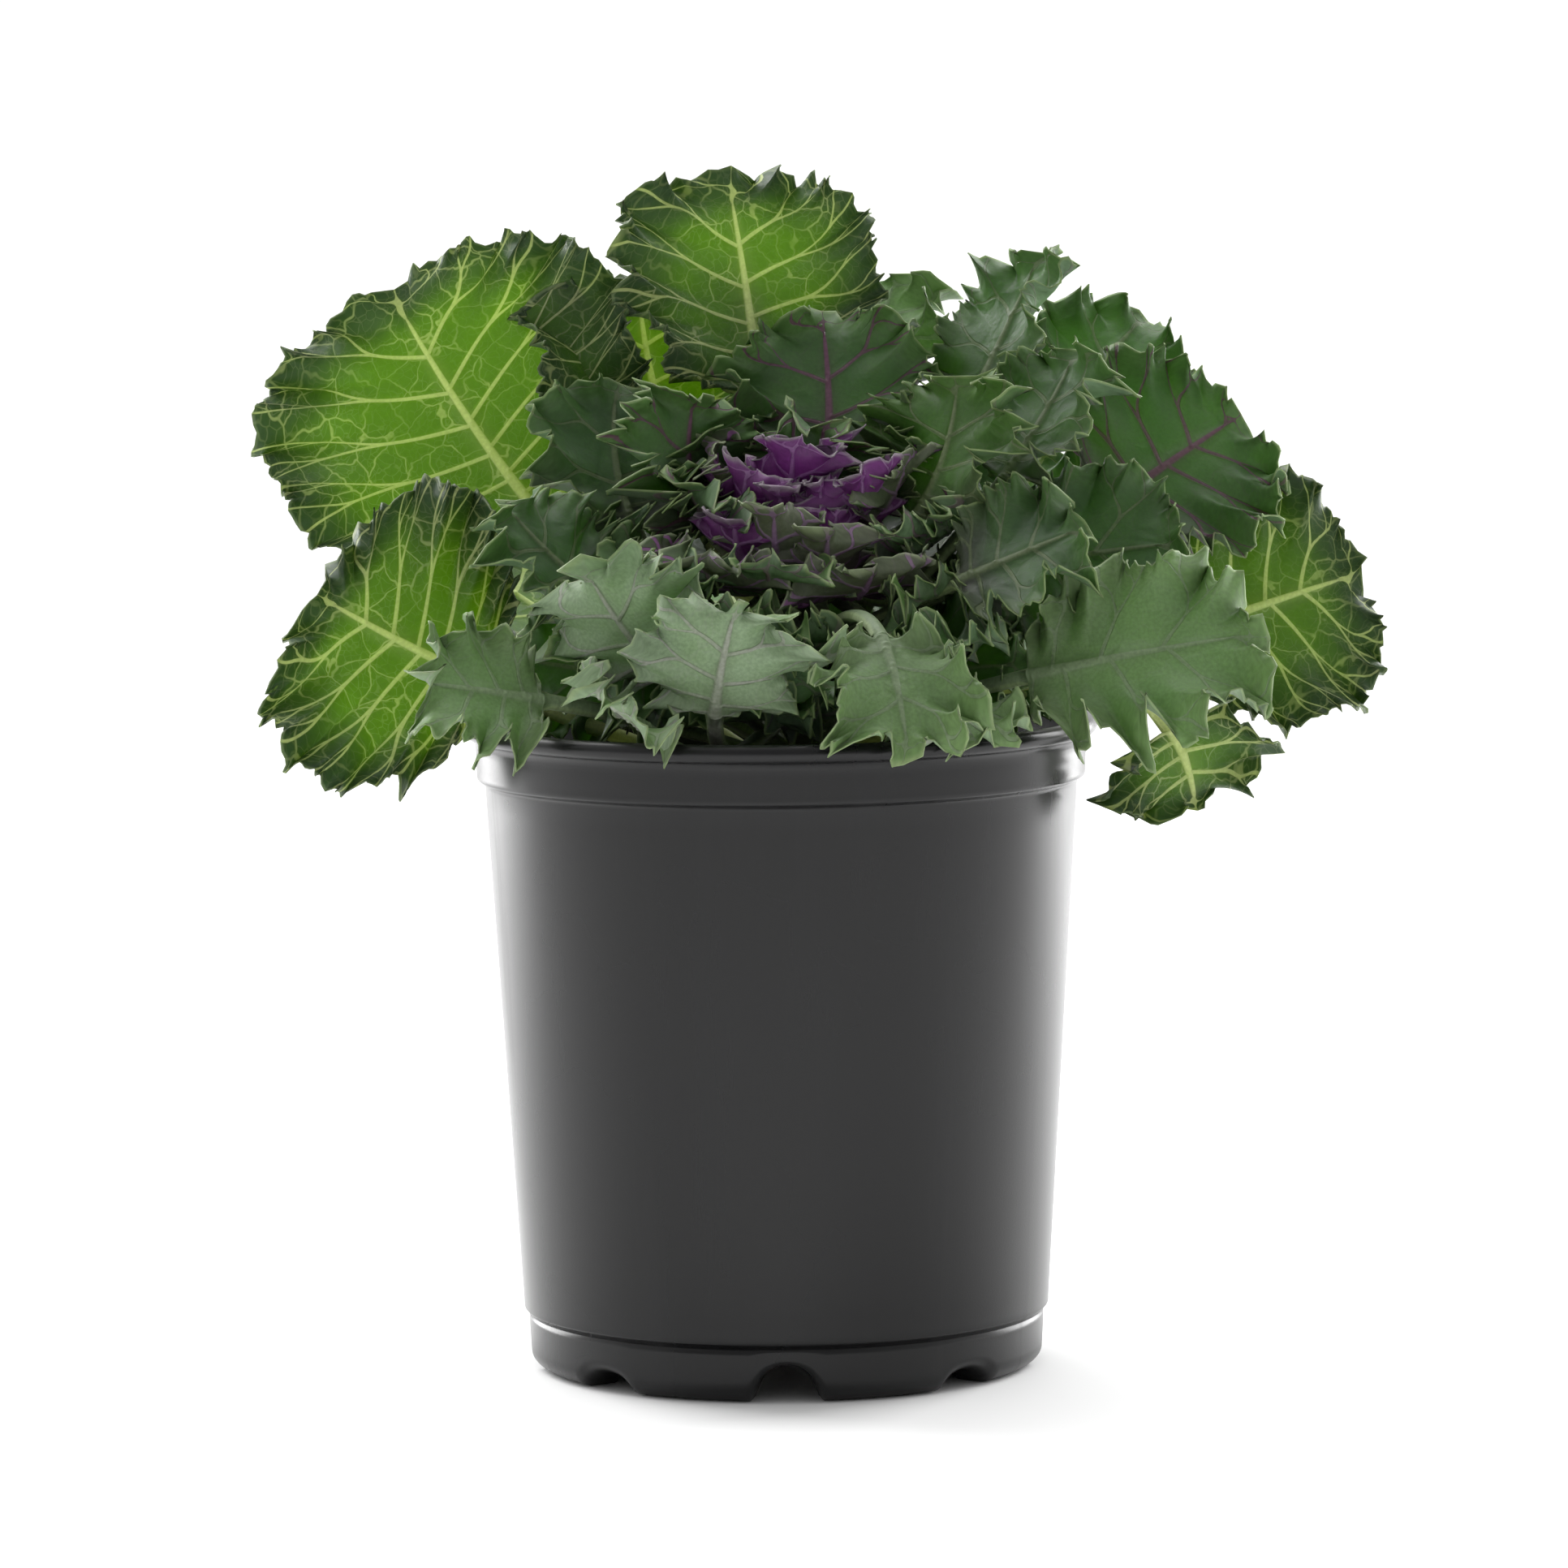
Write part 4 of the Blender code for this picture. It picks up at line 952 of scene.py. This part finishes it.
def soil_material():
    """Dark crumbly peat, brown bark and white perlite."""
    nodes = Nodes("soil")
    place = nodes.add("TexCoord", {}, {}).outputs["Object"]
    light, shade, _ = nodes.parts(nodes.fact("pale"))
    grain = nodes.noise(place, 900.0, 4.0, 0.7)
    peat = nodes.mix(nodes.ramp(grain, 0.35, 0.7), (0.010, 0.007, 0.005), (0.040, 0.026, 0.017))
    bark = nodes.mix(shade, (0.020, 0.012, 0.008), (0.075, 0.042, 0.024))
    colour = nodes.mix(nodes.ramp(shade, 0.5, 0.52), peat, bark)
    colour = nodes.mix(light, colour, (0.62, 0.60, 0.55))
    nodes.coat(colour, nodes.ramp(grain, 0.3, 0.7, 0.75, 1.0))
    nodes.bump(grain, 0.0006, 1.0)
    return nodes.material


def stem_radius(share, turn, long):
    """The stem's radius in millimetres, swollen at the scars of old leaves and rounded off at its top."""
    end = np.sqrt(np.clip(1 - ease(share, 0.9, 1.0), 0.0004, 1))
    radius = STEM_RADIUS * (1 - 0.2 * np.clip(share, 0, 1)) * end
    for i in range(SCARS):
        facing = np.clip(np.cos(turn - math.radians(GOLDEN_TURN * i)), 0, 1) ** 3
        near = np.exp(-(((share - (i + 0.5) / SCARS) * long / (SCAR_HALF * MM)) ** 2))
        radius = radius + SCAR_RISE * near * facing
    return radius * (1 + 0.015 * np.sin(11 * turn) + 0.01 * np.sin(23 * turn + 1))


def cap_quads(ring):
    """Quads that close a ring of points."""
    half = len(ring) // 2
    return [(ring[j], ring[j + 1], ring[-2 - j], ring[-1 - j]) for j in range(half - 1)]


def add_stem():
    """The leaning stem, from below the soil to the crown."""
    axis = unit(STEM_TOP - STEM_FOOT)
    side = unit(np.cross(axis, (1.0, 0.0, 0.0)))
    other = np.cross(axis, side)
    long = np.linalg.norm(STEM_TOP - STEM_FOOT)
    share = np.linspace(-STEM_SUNK * MM / long, 1.0, STEM_ROWS)[:, None]
    turn = 2 * math.pi * np.arange(STEM_SIDES) / STEM_SIDES
    outwards = side * np.cos(turn)[:, None] + other * np.sin(turn)[:, None]
    centre = STEM_FOOT + (STEM_TOP - STEM_FOOT) * share[..., None]
    points = centre + outwards * stem_radius(share, turn, long)[..., None] * MM
    index = np.arange(STEM_ROWS * STEM_SIDES).reshape(STEM_ROWS, STEM_SIDES)
    beside = np.roll(index, -1, 1)
    quads = np.stack((index[:-1], beside[:-1], beside[1:], index[1:]), -1).reshape(-1, 4)
    caps = cap_quads(index[0][::-1]) + cap_quads(index[-1])
    stem = add_mesh("fine_stem", points.reshape(-1, 3), np.vstack([quads, caps]))
    dress(stem, ["stem", "head"], stem_material())


def stem_material():
    """Pale green stem with lengthwise fibres and a purple flush."""
    nodes = Nodes("stem")
    place = nodes.add("TexCoord", {}, {}).outputs["Object"]
    long = nodes.add("Mapping", {}, {"Vector": place, "Scale": (500.0, 500.0, 60.0)}).outputs[0]
    fibre = nodes.noise(long, 1.0, 3.0)
    flush = nodes.noise(place, 40.0, 2.0)
    colour = nodes.mix(nodes.ramp(fibre, 0.3, 0.7), (0.130, 0.170, 0.080), (0.240, 0.280, 0.150))
    colour = nodes.mix(nodes.ramp(flush, 0.5, 0.8, 0.0, 0.6), colour, (0.110, 0.050, 0.080))
    nodes.coat(colour, nodes.ramp(fibre, 0.3, 0.7, 0.45, 0.65))
    nodes.bump(fibre, 0.0004, 0.8)
    return nodes.material


def stage():
    """A pale floor, a white surround, soft lamps and the way colours are shown."""
    mesh = bpy.data.meshes.new("floor")
    corners = [(x * FLOOR_HALF, y * FLOOR_HALF, 0) for x, y in ((-1, -1), (1, -1), (1, 1), (-1, 1))]
    mesh.from_pydata(corners, [], [(0, 1, 2, 3)])
    floor = add_object("floor", mesh)
    floor.location.z = -FLOOR_DROP * MM
    nodes = Nodes("floor")
    nodes.coat(FLOOR_COLOUR, FLOOR_ROUGHNESS)
    mesh.materials.append(nodes.material)
    add_world()
    add_sun()
    add_side_lamp("lamp_left", -1)
    add_side_lamp("lamp_right", 1)
    bpy.context.scene.view_settings.view_transform = "Standard"


def add_world():
    """White all round, and dimmer on the front side, as in a studio with a lit backdrop."""
    world = bpy.data.worlds.new("surround")
    world.use_nodes = True
    tree = world.node_tree
    place = tree.nodes.new("ShaderNodeTexCoord")
    parts = tree.nodes.new("ShaderNodeSeparateXYZ")
    shade = tree.nodes.new("ShaderNodeMapRange")
    shade.interpolation_type = "SMOOTHSTEP"
    tree.links.new(place.outputs["Generated"], parts.inputs[0])
    tree.links.new(parts.outputs["Y"], shade.inputs["Value"])
    ends = zip(("From Min", "From Max", "To Min", "To Max"), (*WORLD_TURN, WORLD_FRONT, WORLD_BACK))
    for socket, value in ends:
        shade.inputs[socket].default_value = value
    tree.links.new(shade.outputs[0], tree.nodes["Background"].inputs["Strength"])
    tree.nodes["Background"].inputs["Color"].default_value = (1.0, 1.0, 1.0, 1.0)
    bpy.context.scene.world = world


def add_sun():
    """A very soft light from above and behind, even over the whole floor."""
    lamp = bpy.data.lights.new("lamp_above", "SUN")
    lamp.energy = SUN_POWER
    lamp.angle = SUN_SOFTNESS
    add_object("lamp_above", lamp).rotation_euler = SUN_TILT


def add_side_lamp(name, side):
    """A tall soft lamp beside the plant, which gives the pot its bright flanks. side is -1 or 1."""
    lamp = bpy.data.lights.new(name, "AREA")
    lamp.shape = "RECTANGLE"
    lamp.size, lamp.size_y = SIDE_LAMP
    lamp.energy = SIDE_POWER
    obj = add_object(name, lamp)
    obj.location = (side * SIDE_PLACE[0], *SIDE_PLACE[1:])
    obj.rotation_euler = (math.pi / 2, 0, side * SIDE_TURN)


def add_camera():
    """The photograph's camera, which looks down a little and is rolled a little."""
    camera = bpy.data.cameras.new("camera")
    camera.sensor_width = SENSOR_WIDTH
    camera.lens = FOCAL_PIXELS * SENSOR_WIDTH / PHOTO_SIZE
    place = Matrix.Translation(np.add(CAMERA_PLACE, POT_AXIS))
    tip = Matrix.Rotation(math.pi / 2 - CAMERA_PITCH, 4, "X")
    roll = Matrix.Rotation(-CAMERA_ROLL, 4, "Z")
    obj = add_object("camera", camera)
    obj.matrix_world = place @ tip @ roll
    bpy.context.scene.camera = obj


def pot_axis():
    """Where the pot's axis meets the floor."""
    low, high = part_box("pot")
    return np.array([(low.x + high.x) / 2, (low.y + high.y) / 2, 0.0])


def add_plant():
    """All leaves: the outer ones each for its own node, and the others for the head or the heart."""
    for leaf in OUTER_LEAVES:
        add_leaf(leaf, [leaf.name])
    inner = [*HEAD_LEAVES, *skirt_leaves(), *(leaf for ring in HEAD_RINGS for leaf in ring_leaves(ring))]
    for leaf in inner:
        add_leaf(leaf, ["head"])
    for leaf in (leaf for ring in HEART_RINGS for leaf in ring_leaves(ring)):
        add_leaf(leaf, ["heart"])


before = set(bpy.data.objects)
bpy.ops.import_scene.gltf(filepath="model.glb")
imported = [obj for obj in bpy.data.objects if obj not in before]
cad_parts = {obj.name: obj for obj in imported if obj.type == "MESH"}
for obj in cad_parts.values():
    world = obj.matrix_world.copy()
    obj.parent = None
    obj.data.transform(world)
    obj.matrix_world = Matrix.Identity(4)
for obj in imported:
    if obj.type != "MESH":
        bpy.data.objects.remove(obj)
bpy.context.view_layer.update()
POT_AXIS = pot_axis()
add_pot()
add_soil()
add_stem()
add_plant()
stage()
add_camera()
bpy.context.view_layer.update()
